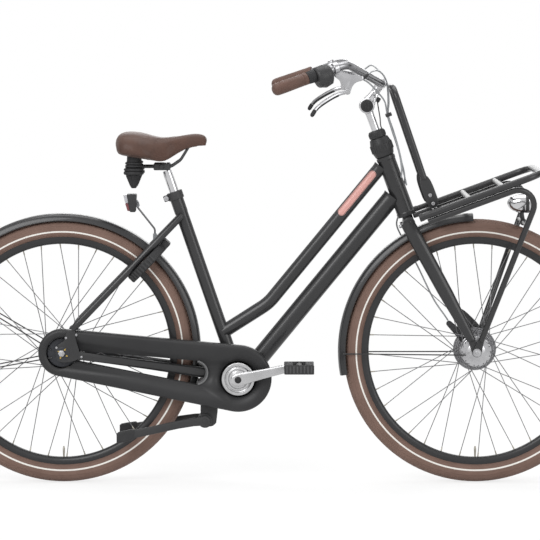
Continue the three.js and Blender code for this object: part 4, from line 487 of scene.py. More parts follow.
def build_wheel(prefix, axle, flange_radius, body, gap_turn):
    bm = bmesh.new()
    wall = [(311.0, 3.5), (330.0, 20.3), (345.0, 19.0), (357.8, 0.0)]
    outline = mirrored(tyre_profile)
    lathe(bm, outline + list(reversed(mirrored(wall))) + [outline[0]], axle, 128)
    joined(bm, f"{prefix}_tyre_cover", tyre_look(f"{prefix}_tyre_rubber", axle), body, "tyre_brown", 50,
           f"{prefix}_tyre")
    bm = bmesh.new()
    lathe(bm, mirrored(rim_well) + mirrored(rim_back) + rim_well[:1], axle, 128)
    joined(bm, f"{prefix}_rim_hoop", rim_black, body, "rim_paint", 40, f"{prefix}_rim")
    wires, nipples = laced_spokes(axle, flange_radius, gap_turn)
    rod_piece(wires, f"{prefix}_spoke_wires", 8, spoke_wire, body, "spoke_steel", 50,
              f"{prefix}_spokes_left", f"{prefix}_spokes_right")
    rod_piece(nipples + [valve_on(axle, -math.pi / 2)], f"{prefix}_nipples_and_valve", 8, nipple_brass,
              body, "spoke_steel", 50)
    bm = bmesh.new()
    shell = [(6.2, 33.6), (11.0, 33.9), (17.0, 33.4), (22.0, 31.6), (24.5, 30.2),
             (flange_radius - 1.5, 30.0), (flange_radius, 28.6), (flange_radius, 27.4),
             (flange_radius - 1.5, 26.2), (31.0, 26.0), (28.2, 22.0), (26.4, 14.0), (25.8, 0.0)]
    lathe(bm, rounded(mirrored(shell), 0.8), axle, 72)
    joined(bm, f"{prefix}_hub_body", hub_alloy, body, "hub_alloy", 30, f"{prefix}_hub_shell")


first_gap = math.radians(46.5317)
build_wheel("rear", rear_axle, 50.0, "rear_wheel", first_gap)
build_wheel("front", front_axle, 42.0, "front_wheel", first_gap)

# Hub brakes and axles: a finned steel cooling disc on the left of each hub with a
# pressed torque arm, and a nutted steel axle through hub, brake and dropouts.
brake_metal = look("cast_brake_grey", (0.32, 0.32, 0.33), (0.22, 0.22, 0.23), (0.42, 0.6), 40.0, 700.0,
                   0.00006, metallic=0.75)
axle_steel = look("zinc_steel", (0.46, 0.46, 0.47), (0.34, 0.34, 0.35), (0.3, 0.5), 60.0, 600.0, 0.00002,
                  metallic=0.9)
brake_black = look("enamelled_arm", (0.035, 0.035, 0.037), (0.026, 0.026, 0.028), (0.42, 0.58), 30.0, 800.0,
                   0.00003)


def belt_loop(one, one_radius, two, two_radius, count):
    """Points round two circles and their two touching lines, in x and z, in mm."""
    one, two = Vector(one), Vector(two)
    across = math.atan2(two.y - one.y, two.x - one.x)
    spread = math.acos((one_radius - two_radius) / (two - one).length)
    points = []
    half = count // 2
    for index in range(half):
        turn = across + spread + (2 * math.pi - 2 * spread) * index / (half - 1)
        points.append(one + one_radius * Vector((math.cos(turn), math.sin(turn))))
    for index in range(half):
        turn = across - spread + 2 * spread * index / (half - 1)
        points.append(two + two_radius * Vector((math.cos(turn), math.sin(turn))))
    return points


def slab(bm, loop, low_y, high_y, edge):
    """A flat plate from an outline in x and z, with both rims bevelled, in mm."""
    place = [bm.verts.new(mm(p.x, low_y, p.y)) for p in loop]
    face = bm.faces.new(place)
    grown = bmesh.ops.extrude_face_region(bm, geom=[face])
    moved = [item for item in grown["geom"] if isinstance(item, bmesh.types.BMVert)]
    bmesh.ops.translate(bm, verts=moved, vec=Vector((0, (high_y - low_y) * MM, 0)))
    rims = [item for item in bm.edges if item.is_valid and all(v in place for v in item.verts)]
    rims += [item for item in bm.edges if all(v in moved for v in item.verts)]
    rims = [item for item in set(rims) if item.calc_face_angle(0) > 0.5]
    if edge:
        bmesh.ops.bevel(bm, geom=rims, offset=edge * MM, segments=2, affect="EDGES", profile=0.5,
                        material=-1)


def moved_by(bm, matrix):
    bmesh.ops.transform(bm, matrix=matrix, verts=bm.verts)


def hub_brake(prefix, axle, disc_radius, length, arm_length, arm_turn, body):
    bm = bmesh.new()
    near = 34.9
    far = near + length
    profile = [(6.0, near), (33.0, near), (34.0, near + 1.2), (34.0, far - 5), (36.5, far - 3.4)]
    for fin in range(4):
        r = 38 + (disc_radius - 40) * fin / 4
        profile += [(r, far - 3.0), (r + 1.2, far - 2.4), (r + 2.4, far - 3.0)]
    profile += [(disc_radius - 0.8, far - 2.9), (disc_radius, far - 1.4), (disc_radius - 0.8, far - 0.1),
                (32.0, far), (30.0, far - 0.8), (22.0, far - 0.8), (20.0, far), (6.0, far), (6.0, near)]
    lathe(bm, profile, axle, 72)
    joined(bm, f"{prefix}_brake_drum", brake_metal, body, "brake_alloy", 30, f"{prefix}_brake")
    bm = bmesh.new()
    end = (arm_length * math.cos(arm_turn), arm_length * math.sin(arm_turn))
    slab(bm, belt_loop((0, 0), 16, end, 8, 40), near + 0.9, near + 4.9, 0.8)
    moved_by(bm, Matrix.Translation(axle))
    joined(bm, f"{prefix}_brake_arm", brake_black, body, "brake_alloy", 30)


def nutted_axle(prefix, axle, outer, body):
    """The axle with a six-sided nut and a washer at each end, outer mm from the middle."""
    bm = bmesh.new()
    nut_radius = 9.4
    nut = [Vector((nut_radius * math.cos(math.pi * k / 3), nut_radius * math.sin(math.pi * k / 3)))
           for k in range(6)]
    for hand in (1, -1):
        nut_bm = bmesh.new()
        y = axle.y + hand * outer * MM
        slab(nut_bm, nut, 1.6, 8.2, 1.0)
        if hand < 0:
            bmesh.ops.scale(nut_bm, vec=(1, -1, 1), verts=nut_bm.verts)
        lathe(nut_bm, [(0, 0.2 * hand), (11.4, 0.2 * hand), (11.4, 1.4 * hand), (0, 1.4 * hand)],
              Vector(), 40)
        moved_by(nut_bm, Matrix.Translation((axle.x, y, axle.z)))
        add_shape(bm, nut_bm)
    reach = (outer + 11) * MM
    shaft = [(axle + Vector((0, y * reach, 0)), r) for y, r in (
        (-1, 3.6), (-0.985, 4.9), (0.985, 4.9), (1, 3.6))]
    add_mesh(bm, rods([shaft], "shaft", 24))
    joined(bm, f"{prefix}_axle_and_nuts", axle_steel, body, "drive_steel", 30, f"{prefix}_axle")


hub_brake("rear", rear_axle, 54.0, 22.0, 150.0, math.radians(-8.5), "frame")
hub_brake("front", front_axle, 59.5, 10.0, 100.0, math.radians(135), "steering")
nutted_axle("rear", rear_axle, 71.5, "frame")
nutted_axle("front", front_axle, 60.3, "steering")

# Main frame: brazed steel tubes in satin black enamel. The two front tubes run side
# by side from the head tube; the upper one bends back to meet the seat tube.
enamel = (0.025, 0.025, 0.026), (0.020, 0.020, 0.021), (0.27, 0.37), 7.0, 1500.0, 0.00002
paint_black = look("satin_enamel", *enamel, coat=0.2)


def at(x, z, y=0.0):
    """A point in metres from mm forward of and above the rear axle's foot."""
    return mm(x - rear_x / MM, y, z)


def bent(corners, radius, steps):
    """Straight runs through the corners, joined by round bends of one radius in mm."""
    points = [Vector(corners[0])]
    for before, here, after in zip(corners, corners[1:], corners[2:]):
        here = Vector(here)
        one = (Vector(before) - here).normalized()
        two = (Vector(after) - here).normalized()
        half = one.angle(two) / 2
        reach = radius * MM / math.tan(half)
        centre = here + (one + two).normalized() * radius * MM / math.sin(half)
        a = here + one * reach - centre
        b = here + two * reach - centre
        for step in range(steps + 1):
            points.append(centre + a.slerp(b, step / steps) * a.length)
    points.append(Vector(corners[-1]))
    return points


def along(place, way, distance):
    return place + way * distance * MM


head_tilt = math.radians(20.2)
head_up = Vector((-math.sin(head_tilt), 0, math.cos(head_tilt)))
head_ahead = Vector((math.cos(head_tilt), 0, math.sin(head_tilt)))
head_foot = Vector((0.383503, 0, 0.733014))
seat_tilt = math.radians(19)
seat_up = Vector((-math.sin(seat_tilt), 0, math.cos(seat_tilt)))
axle_z, bracket_x, bracket_z = 362, 480, 291
bracket = at(bracket_x, bracket_z)
down_top = along(head_foot, head_up, 73.9)
down_foot = at(496.2, 291)
down_way = (down_foot - down_top).normalized()
top_start = along(head_foot, head_up, 162.6)
side = Vector((0, 1, 0))


def flared(start, way, radius):
    """A tube's end with the swollen fillet of its brazed joint, as (point, radius) steps."""
    reach, rise = 9.0, 2.2
    return [(along(start, way, reach * t), radius + rise * (1 - t) ** 2) for t in (0, 0.2, 0.4, 0.7, 1)]


down_radius = 25.0
run = flared(along(down_top, down_way, 22), down_way, down_radius)
run.append((along(down_foot, down_way, -32), down_radius))
run += reversed(flared(along(down_foot, down_way, -20), -down_way, down_radius))
rod_piece([run], "down_tube_skin", 48, paint_black, "frame", "frame_paint", 40, "down_tube")

# The upper tube, bent back to the seat tube and painted with the same enamel, carries a
# plain rose panel with a rounded end and a thin border on each side.
bend_route = bent([top_start, along(top_start, down_way, 508), along(bracket, seat_up, 129)], 130, 14)
bend_run = [(place, 18.7) for place in bend_route]
bend_run[0] = (along(top_start, down_way, 24), 20.6)
bend_run.insert(1, (along(top_start, down_way, 29), 19.3))
bend_run.insert(2, (along(top_start, down_way, 34), 18.7))
panel_black = look("enamel_with_panel", *enamel, coat=0.2)
tree = panel_black.node_tree
spot = object_place(tree, along(top_start, down_way, 121) + down_way.cross(side) * -0.005)


def dot_of(tree, vector, way):
    node = tree.nodes.new("ShaderNodeVectorMath")
    node.operation = "DOT_PRODUCT"
    node.inputs[1].default_value = way
    tree.links.new(vector, node.inputs[0])
    return node.outputs["Value"]


run_share = dot_of(tree, spot, down_way)
off_share = dot_of(tree, spot, down_way.cross(side))
panel_half_length = 0.066
reach = math_node(tree, "SUBTRACT", math_node(tree, "ABSOLUTE", run_share), panel_half_length)
reach = math_node(tree, "MAXIMUM", reach, 0.0)
far = math_node(tree, "SQRT", math_node(tree, "ADD", math_node(tree, "POWER", reach, 2.0),
                                        math_node(tree, "POWER", off_share, 2.0)))
panel = band(tree, far, -1.0, 0.0100, 0.0004)
edge = band(tree, far, 0.0084, 0.0089, 0.0003)
panel = math_node(tree, "MULTIPLY", panel, math_node(tree, "SUBTRACT", 1.0, edge))
repaint(panel_black, mix_colour(tree, panel, tree.nodes["life"].outputs["Color"], (0.56, 0.29, 0.26, 1)))
rod_piece([bend_run], "top_tube_skin", 40, panel_black, "frame", "frame_paint", 40, "top_tube")

# Seat tube: round steel in the frame's enamel, with the threaded bottom bracket shell
# brazed across its foot and a thicker collar at the top.
bm = bmesh.new()
seat_line = [(0, 17.5), (19, 20.0), (26, 18.4), (34, 17.5), (474, 17.5), (478, 18.3), (537, 18.3)]
add_mesh(bm, rods([[(along(bracket, seat_up, s), r) for s, r in seat_line]], "seat", 40))
lathe(bm, rounded(mirrored([(9, -35), (20.5, -35), (22, -33.5)]) + [(9, -35)], 1.0), bracket, 48)
joined(bm, "seat_tube_and_shell", paint_black, "frame", "frame_paint", 35, "seat_tube")

# Head tube: a short wide steel tube in the frame's enamel, with a bearing cup pressed
# into each end.
bm = bmesh.new()
cups = [(15.4, 0), (24.0, 0), (25.8, 1.2), (26.0, 9.5), (25.0, 11.2), (24.6, 13), (24.6, 160),
        (25.0, 161.8), (26.0, 163.5), (25.8, 171.8), (24.0, 173), (15.4, 173)]
lathe(bm, cups, head_foot, 56, head_up)
joined(bm, "head_tube_and_cups", paint_black, "frame", "frame_paint", 30, "head_tube")

# Rear end: drawn steel chainstays and seat stays, with pressed dropout plates and two
# bridges, all brazed together and enamelled with the frame.
stay_stations = [(40.9, 69, 2.5, 11), (70, 67.6, 3.6, 11), (128.7, 58, 6, 11.2), (230, 44, 6, 12.4),
                 (333.6, 35.5, 6, 14), (410, 32, 5.7, 15.6), (469, 30, 5.5, 17)]


def softened(loop, times=2):
    """Cuts an outline's corners, twice by default, so that it reads as a filed plate."""
    points = [Vector(p) for p in loop]
    for _ in range(times):
        points = [p for one, two in zip(points, points[1:] + points[:1])
                  for p in (one.lerp(two, 0.22), one.lerp(two, 0.78))]
    return points


def lofted(bm, rings, sides):
    """Skin over ovals: each ring is (centre, first axis, second axis), vectors in metres."""
    edges = []
    for centre, one, two in rings:
        made = bmesh.ops.create_circle(bm, segments=sides, radius=1)["verts"]
        for vert in made:
            vert.co = centre + one * vert.co.x + two * vert.co.y
        edges.append([e for e in bm.edges if all(v in made for v in e.verts)])
    for one, two in zip(edges, edges[1:]):
        bmesh.ops.bridge_loops(bm, edges=one + two)
    for loop in (edges[0], edges[-1]):
        bmesh.ops.contextual_create(bm, geom=loop)


def stay_level(x):
    return axle_z + (bracket_z - axle_z) * x / bracket_x


def mirrored_half(bm, name, *values):
    """Adds the left-hand twin of what stands on one side, then finishes the piece."""
    copy = bm.copy()
    bmesh.ops.scale(copy, vec=(1, -1, 1), verts=copy.verts)
    bmesh.ops.reverse_faces(copy, faces=copy.faces)
    add_shape(bm, copy)
    return joined(bm, name, *values)


bm = bmesh.new()
lofted(bm, [(at(x, stay_level(x), y), side * w * MM, Vector((0, 0, h * MM)))
            for x, y, w, h in stay_stations], 20)
add_mesh(bm, rods([[(at(404, stay_level(404), 0), 8), (at(404, stay_level(404), 31), 8)]], "bridge", 20))
dropout = [(-0.27, 0.1), (-0.21, -0.23), (0.15, -0.29), (0.72, -0.2), (0.72, 0.1), (0.58, 0.4),
           (0.55, 0.69), (0.2, 0.69), (0.12, 0.36), (-0.15, 0.26)]
plate_bm = bmesh.new()
slab(plate_bm, softened([(u * 66, w * 92) for u, w in dropout]), 66.5, 71.5, 0.8)
moved_by(plate_bm, Matrix.Translation(rear_axle))
add_shape(bm, plate_bm)
mirrored_half(bm, "chainstays_and_dropouts", paint_black, "frame", "frame_paint", 35, "chainstays")

seat_stay_top = along(bracket, seat_up, 470)
stay_foot = at(28, 425.5)
stay_shoulder = seat_stay_top.lerp(stay_foot, 0.25)
bm = bmesh.new()
route = bent([seat_stay_top + side * 18 * MM, stay_shoulder + side * 43 * MM, stay_foot + side * 69 * MM],
             120, 8)
stay_radius = 9.7
run = [(route[0], 8.2), (route[0].lerp(route[1], 0.12), stay_radius)]
run += [(place, stay_radius) for place in route[1:-1]]
run.append((route[-2].lerp(route[-1], 0.93), stay_radius))
run += [(route[-2].lerp(route[-1], 0.985), 8.0), (route[-1], 5.0)]
add_mesh(bm, rods([run], "stay", 28))
add_mesh(bm, rods([[(stay_shoulder, 8), (stay_shoulder + side * 43 * MM, 8)]], "stay_bridge", 24))
mirrored_half(bm, "seat_stay_pair", paint_black, "frame", "frame_paint", 35, "seat_stays")

# Mudguards: sheet steel rolled to a deep oval with hemmed rims, in the frame's enamel,
# each held by thin wire stays that end beside the axle.
guard_radius = 378


def guard_profile():
    """The outer and inner line across a mudguard, as (radius, y) in mm, up to its middle."""
    half, depth, wall, count = 28.0, 19.0, 1.5, 9
    outer = []
    for step in range(count + 1):
        s = 1 - step / count
        outer.append((guard_radius - depth * (1 - max(0.0, 1 - s ** 2.5) ** 0.4), half * s))
    rim = guard_radius - depth
    outer = [(rim - 1.6, half - 0.6), (rim - 1.0, half + 0.1)] + outer
    inner = [(r - wall if s < half * 0.9 else r, s - (wall if s > half * 0.6 else wall * s / half))
             for r, s in reversed(outer)]
    return outer, inner


def arc_spin(bm, profile, axle, start, end, steps):
    """Spins a profile of (radius, y) in mm round a wheel from one angle to another."""
    way = Vector((math.cos(start), 0, math.sin(start)))
    points = [bm.verts.new(axle + (way * r + side * y) * MM) for r, y in profile]
    edges = [bm.edges.new(pair) for pair in zip(points, points[1:] + points[:1])]
    bmesh.ops.spin(bm, geom=points + edges, cent=axle, axis=(0, -1, 0), angle=end - start, steps=steps,
                   use_merge=False, use_duplicate=False)
    bmesh.ops.holes_fill(bm, edges=[e for e in bm.edges if e.is_boundary], sides=0)


def mudguard(name, axle, start, end, body, replaced, stays, stay_far):
    outer, inner = guard_profile()
    loop = mirrored(outer) + [(r, -s) for r, s in reversed(inner[1:])] + inner
    bm = bmesh.new()
    arc_spin(bm, loop, axle, math.radians(start), math.radians(end), int((end - start) / 1.8))
    joined(bm, name, paint_black, body, "frame_paint", 50, replaced)
    wires = []
    for turn in stays:
        for hand in (1, -1):
            rim_point = on_wheel(axle, 357, math.radians(turn), hand * 29.6)
            fixed = on_wheel(axle, 30, math.radians(turn + 14), hand * stay_far)
            wires.append([(fixed, 1.8), (rim_point, 1.8)])
            wires.append([(rim_point, 3.4), (on_wheel(axle, 364, math.radians(turn), hand * 29.2), 3.4)])
    rod_piece(wires, f"{name}_wire_stays", 10, paint_black, body, "frame_paint", 50)


mudguard("rear_mudguard_shell", rear_axle, -18, 200, "frame", "rear_mudguard", (150, 192), 60)
mudguard("front_mudguard_shell", front_axle, 91.5, 190.3, "steering", "front_mudguard", (181,), 47)

# Chain case: a moulded black shell round the chain, with rounded shoulders, a long
# slot where the chainstay shows and round openings at dropout and crank.
case_black = look("moulded_case", (0.024, 0.024, 0.025), (0.018, 0.018, 0.019), (0.38, 0.5), 9.0, 1100.0,
                  0.00004)
case_shift = Matrix.Translation((-rear_x, 0, 0))
case_outer_y, case_inner_y, shoulder_radius = -66, -39, 10.0


def ring_of(bm, loop, y):
    return [bm.verts.new(mm(p[0], y, p[1])) for p in loop]


def wall_between(bm, one, two):
    for index in range(len(one)):
        after = (index + 1) % len(one)
        bm.faces.new((one[index], one[after], two[after], two[index]))


def circle_loop(x, z, radius):
    count = 48
    return [(x + radius * math.cos(2 * math.pi * k / count), z + radius * math.sin(2 * math.pi * k / count))
            for k in range(count)]


def inside(point, loop):
    hit = False
    for one, two in zip(loop, loop[1:] + loop[:1]):
        if (one[1] > point[1]) != (two[1] > point[1]):
            if point[0] < (two[0] - one[0]) * (point[1] - one[1]) / (two[1] - one[1]) + one[0]:
                hit = not hit
    return hit


def panel_with_holes(bm, outline, holes, y):
    """A flat panel in x and z that keeps what lies inside the outline and in no hole."""
    places, edges = [], []
    for loop in [outline, *holes]:
        first = len(places)
        places += [Vector((p[0], p[1])) for p in loop]
        edges += [(first + k, first + (k + 1) % len(loop)) for k in range(len(loop))]
    flat, _, faces = delaunay_2d_cdt(places, edges, [], 0, 0.0001)[:3]
    points = [bm.verts.new(mm(p.x, y, p.y)) for p in flat]
    for face in faces:
        middle = sum((flat[k] for k in face), Vector((0, 0))) / len(face)
        if inside(middle, outline) and not any(inside(middle, hole) for hole in holes):
            bm.faces.new([points[k] for k in face])
    bmesh.ops.delete(bm, geom=[v for v in points if not v.link_faces], context="VERTS")


def case_loop(inset):
    return [tuple(p) for p in belt_loop((0, axle_z), 65 - inset, (bracket_x, bracket_z), 91.6 - inset, 96)]


slot_loop = [tuple(p) for p in belt_loop((45, 354), 15, (367, 308), 33, 48)]
bm = bmesh.new()
shoulder = [(shoulder_radius * (1 - math.sin(t)), case_outer_y + shoulder_radius * (1 - math.cos(t)))
            for t in (math.pi / 2 * k / 6 for k in range(7))]
rings = [ring_of(bm, case_loop(inset), y)
         for inset, y in shoulder + [(0, -44), (1.2, -40.2), (4, case_inner_y)]]
for one, two in zip(rings, rings[1:]):
    wall_between(bm, one, two)
for inset, crank_hole, y in ((shoulder_radius, 50, case_outer_y), (4.0, 25, case_inner_y)):
    holes = [slot_loop, circle_loop(0, axle_z, 42), circle_loop(bracket_x, bracket_z, crank_hole)]
    panel_with_holes(bm, case_loop(inset), holes, y)
moved_by(bm, case_shift)
case = joined(bm, "chain_case_shell", case_black, "frame", "frame_paint", 32, "chain_case")
thick = case.modifiers.new("wall", "SOLIDIFY")
thick.thickness = 1.6 * MM
thick.offset = -1
bm = bmesh.new()
lathe(bm, rounded([(25.6, -52.0), (29.6, -66.4), (34.2, -66.9), (34.2, -52.0), (25.6, -52.0)], 1.2),
      at(365, 308), 40, sweep=math.pi * 0.9, start=math.pi * 0.05)
case_grey = look("moulded_case_ring", (0.14, 0.14, 0.142), (0.1, 0.1, 0.102), (0.4, 0.55), 30.0, 900.0,
                 0.00003)
joined(bm, "case_slot_ring", case_grey, "frame", "frame_paint", 40)

# Rear hub changer under the dropout: a dark boss, a pale dial with a small pointer and
# the plated screws that hold the case and the wheel in its slots.
boss_dark = look("hub_changer_dark", (0.03, 0.032, 0.038), (0.02, 0.021, 0.026), (0.34, 0.5), 40.0, 800.0,
                 0.00003)
pointer = look("pointer_yellow", (0.52, 0.36, 0.08), (0.38, 0.25, 0.05), (0.45, 0.6), 60.0, 900.0, 0.00003)
bm = bmesh.new()
boss_place = at(3, 361)
lathe(bm, rounded([(0, -73.6), (13.5, -73.6), (18.5, -72.8), (18.5, -71.7), (0, -71.7)], 0.8),
      boss_place, 40)
lathe(bm, rounded([(8, -57), (38.4, -57), (40.4, -56), (40.4, -53.6), (38, -52.6), (8, -52.6), (8, -57)],
                  0.8), at(0, axle_z), 56)
joined(bm, "changer_boss", boss_dark, "frame", "drive_steel", 30)
bm = bmesh.new()
mark = [Vector(p) for p in ((-2.4, 10.2), (2.4, 10.2), (1.0, 15.4), (-1.0, 15.4))]
for turn in range(4):
    mark_bm = bmesh.new()
    slab(mark_bm, mark, -74.6, -73.7, 0.2)
    moved_by(mark_bm, Matrix.Translation(boss_place) @ Matrix.Rotation(turn * math.pi / 2 + 0.5, 4, "Y"))
    add_shape(bm, mark_bm)
joined(bm, "changer_marks", pointer, "frame", "drive_steel", 30)


def screw_head(bm, place, way, radius=3.6, height=2.4):
    """A domed screw head with its six-sided socket, standing along way."""
    head = [(0, height * 0.35), (radius * 0.45, height * 0.35), (radius * 0.5, height),
            (radius * 0.8, height * 0.9), (radius, height * 0.45), (radius, 0), (0, 0)]
    lathe(bm, head, place, 20, way)


bm = bmesh.new()
for x, z in ((40, 412), (12, 404), (54, 352), (-14, 377)):
    screw_head(bm, at(x, z, -71.6), (0, -1, 0))
    screw_head(bm, at(x, z, 71.6), (0, 1, 0))
joined(bm, "dropout_screws", axle_steel, "frame", "drive_steel", 40)

# Drive: forged and polished alloy cranks on a square axle, the right one with a round
# guard plate over the chainring; a bushed chain and a stamped rear sprocket.
crank_polish = look("polished_crank", (0.52, 0.52, 0.525), (0.4, 0.4, 0.405), (0.2, 0.34), 26.0, 300.0,
                    0.00001, metallic=0.95)
cap_black = look("rubber_cap", (0.022, 0.022, 0.023), (0.015, 0.015, 0.016), (0.5, 0.66), 60.0, 900.0,
                 0.00004)
crank_turn = math.radians(13.2)


def squared(value, power):
    return math.copysign(abs(value) ** power, value)


def squared_ring(count, power):
    """Points round a unit circle, drawn out towards a square by a power below 1."""
    turns = [2 * math.pi * k / count for k in range(count)]
    return [(squared(math.cos(turn), power), squared(math.sin(turn), power)) for turn in turns]


def skin(bm, loops):
    """Walls between following loops of points, and a cap on the first and the last."""
    for one, two in zip(loops, loops[1:]):
        wall_between(bm, one, two)
    bm.faces.new(loops[0])
    bm.faces.new(loops[-1])


def crank(name, hand, replaced):
    """One arm: a drawn, tapering forging with softened edges between two round eyes."""
    arm_y = 84.5
    way = Vector((math.cos(crank_turn), 0, math.sin(crank_turn))) * -hand
    up = way.cross(side)
    steps = [(-19.0, 4.0), (-17.4, 9.4), (-12.6, 14.4), (-6, 17.4), (0, 18.4), (10, 18.2), (26, 16.4),
             (46, 14.6), (66, 13.4), (92, 12.4), (130, 11.6), (152, 11.8), (164, 12.6), (170, 12.8),
             (176, 11.6), (180.5, 8.6), (183, 3.6)]
    bm = bmesh.new()
    loops = []
    for x, half in steps:
        thick = 6.6 - 1.2 * min(1.0, max(0.0, x / 150))
        loops.append([
            bm.verts.new(bracket + (way * x + up * half * c) * MM + side * (arm_y + thick * s) * hand * MM)
            for c, s in squared_ring(24, 0.55)])
    skin(bm, loops)
    if hand < 0:
        lathe(bm, rounded([(17, -44.9), (17, -66.6), (43.4, -66.9), (45, -68.4), (45, -71.4),
                           (43.4, -73.0), (37.2, -73.0), (35.6, -71.6), (33.0, -70.4), (31.6, -72.4),
                           (27.4, -73.4), (25.6, -72.2), (24.0, -76.5), (12.0, -79.0)], 0.7), bracket, 72)
    else:
        lathe(bm, rounded([(9, 63.4), (15.6, 63.4), (16.6, 65), (16.6, 79), (12, 80)], 1.0), bracket, 48)
    joined(bm, name, crank_polish, "crank_set", "crank_alloy", 40, replaced)
    bm = bmesh.new()
    y = hand * (arm_y + 6.7)
    lathe(bm, [(0, y), (9.0, y), (10.4, y - hand * 0.8), (10.4, y - hand * 3), (0, y - hand * 3)],
          bracket, 36)
    lathe(bm, [(0, y + hand * 0.6), (4.4, y + hand * 0.6), (5.0, y), (0, y)], bracket, 6)
    joined(bm, f"{name}_cap", cap_black, "crank_set", "dark_plastic", 30)


crank("right_crank_arm", -1, "crank_right")
crank("left_crank_arm", 1, "crank_left")
oiled_chain = look("oiled_chain", (0.2, 0.19, 0.175), (0.12, 0.11, 0.1), (0.36, 0.6), 300.0, 900.0,
                   0.00004, metallic=0.85)
for name, finish in (("crank_axle", axle_steel), ("chain", oiled_chain), ("rear_sprocket", axle_steel)):
    finishes = frame["nodes"][name].data.materials
    for index in range(max(1, len(finishes))):
        if index < len(finishes):
            finishes[index] = finish
        else:
            finishes.append(finish)

# Pedals: moulded black resin cages with softer ribbed grip blocks, an end plate on each
# side and a round barrel that turns on the axle screwed into the crank.
pedal_black = look("pedal_resin", (0.028, 0.028, 0.029), (0.02, 0.02, 0.021), (0.5, 0.66), 60.0, 900.0,
                   0.00005)
pedal_tread = look("pedal_tread", (0.07, 0.07, 0.072), (0.045, 0.045, 0.047), (0.6, 0.78), 80.0, 700.0,
                   0.00008)


def block_in(bm, low, high, edge, segments=2):
    """A box with softened edges between two corners given in mm."""
    low, high = mm(*low), mm(*high)
    spread = Matrix.Translation((low + high) / 2) @ Matrix.Diagonal((*(high - low), 1))
    made = bmesh.ops.create_cube(bm, size=1.0, matrix=spread)["verts"]
    edges = list({e for v in made for e in v.link_edges})
    bmesh.ops.bevel(bm, geom=edges, offset=edge * MM, segments=segments, affect="EDGES", profile=0.5,
                    material=-1)


def pedal(name, centre, hand, body, replaced):
    bm, tread = bmesh.new(), bmesh.new()
    near, far = sorted((hand * 95, hand * 190))
    for end in (-1, 1):
        x1, x2 = sorted((end * 17.0, end * 39.6))
        block_in(bm, (x1, near + 4.5, -11.2), (x2, far - 4.5, 11.2), 2.4)
        for rib in range(11):
            y = near + 9.5 + rib * (far - near - 19) / 10
            block_in(tread, (x1 + 2.0, y - 2.2, -13.2), (x2 - 2.0, y + 2.2, 13.2), 0.9)
    for y in (near + 2.6, far - 2.6):
        block_in(bm, (-40.2, y - 2.4, -12.8), (40.2, y + 2.4, 12.8), 2.4)
        for slot in range(8):
            x = (slot - 3.5) * 9.4
            block_in(tread, (x - 2.4, y - 3.4, -9.6), (x + 2.4, y + 3.4, 9.6), 1.0)
    lathe(bm, rounded([(5.2, near + 1), (10.8, near + 1), (10.8, far - 4), (9.4, far - 0.6),
                       (0, far - 0.6)], 1.2), Vector(), 36)
    for mesh_bm in (bm, tread):
        moved_by(mesh_bm, Matrix.Translation(centre))
    joined(bm, name, pedal_black, body, "pedal_rubber", 35, replaced)
    joined(tread, f"{name}_ribs", pedal_tread, body, "pedal_rubber", 35)


pedal("right_pedal_cage", Vector((0.0880, 0, 0.3298)), -1, "right_pedal", "pedal_right")
pedal("left_pedal_cage", Vector((-0.2430, 0, 0.2522)), 1, "left_pedal", "pedal_left")

# Centre stand: two cast and enamelled legs with moulded shoes, on a pin through a bracket
# below the bottom bracket; shown folded up under the chainstays.
stand_pivot = at(389, 172)
stand_black = look("stand_enamel", (0.036, 0.036, 0.037), (0.028, 0.028, 0.029), (0.42, 0.56), 24.0,
                   900.0, 0.00005)


def oval_run(bm, path, sides=20, power=0.62):
    """Skin over flattened ovals along x: each step is (point, half width, half height), in mm."""
    loops = []
    for place, half_y, half_z in path:
        loops.append([bm.verts.new(mm(*place) + mm(0, half_y * c, half_z * s))
                      for c, s in squared_ring(sides, power)])
    skin(bm, loops)


bm = bmesh.new()
for hand in (1, -1):
    lathe(bm, rounded([(0, 33.9), (13.4, 33.9), (15, 35.4), (15, 46.4), (13.4, 47.9), (5.4, 47.9),
                       (4.4, 46.2), (0, 46.2)], 0.8), Vector(), 40, (0, hand, 0))
    oval_run(bm, [((2, hand * 40.9, 0), 5.5, 12.0), ((-30, hand * 44, -1.8), 5.6, 11.9),
                  ((-72, hand * 50.7, -8), 5.8, 11.6), ((-150, hand * 70, -22.7), 6.2, 11.2),
                  ((-196, hand * 80, -31.5), 7.0, 11.6)])
moved_by(bm, Matrix.Translation(stand_pivot))
joined(bm, "stand_legs", stand_black, "stand", "dark_plastic", 35, "centre_stand")
bm = bmesh.new()
for hand in (1, -1):
    oval_run(bm, [((-191, hand * 79, -30.6), 7.4, 13.0), ((-195, hand * 79.8, -31.4), 8.3, 15.2),
                  ((-216, hand * 84.4, -35.4), 8.4, 15.8), ((-234, hand * 88.4, -38.8), 8.2, 15.4),
                  ((-239.4, hand * 89.6, -39.8), 6.0, 12.4)], 24, 0.45)
moved_by(bm, Matrix.Translation(stand_pivot))
joined(bm, "stand_shoes", pedal_black, "stand", "dark_plastic", 40)
bm = bmesh.new()
block_in(bm, (383, -39, 277.6), (423, 39, 283.6), 1.0)
slab(bm, softened([Vector(p) for p in ((378, 279), (423, 279), (423, 168), (408, 154), (384, 158),
                                       (376, 178))], 1), -26, 26, 2.0)
lathe(bm, rounded(mirrored([(0, -33), (17.5, -33), (20, -31)]), 0.9), Vector((0.389, 0, 0.172)), 48)
moved_by(bm, case_shift)
joined(bm, "stand_hanger", stand_black, "frame", "dark_plastic", 30, "stand_bracket")
bm = bmesh.new()
for hand in (-1, 1):
    lathe(bm, [(0, 49.0), (6.4, 48.6), (7.6, 47.4), (7.6, 46.4), (0, 46.4)], stand_pivot, 28, (0, hand, 0))
joined(bm, "stand_pivot_pin", stand_black, "stand", "drive_steel", 30)

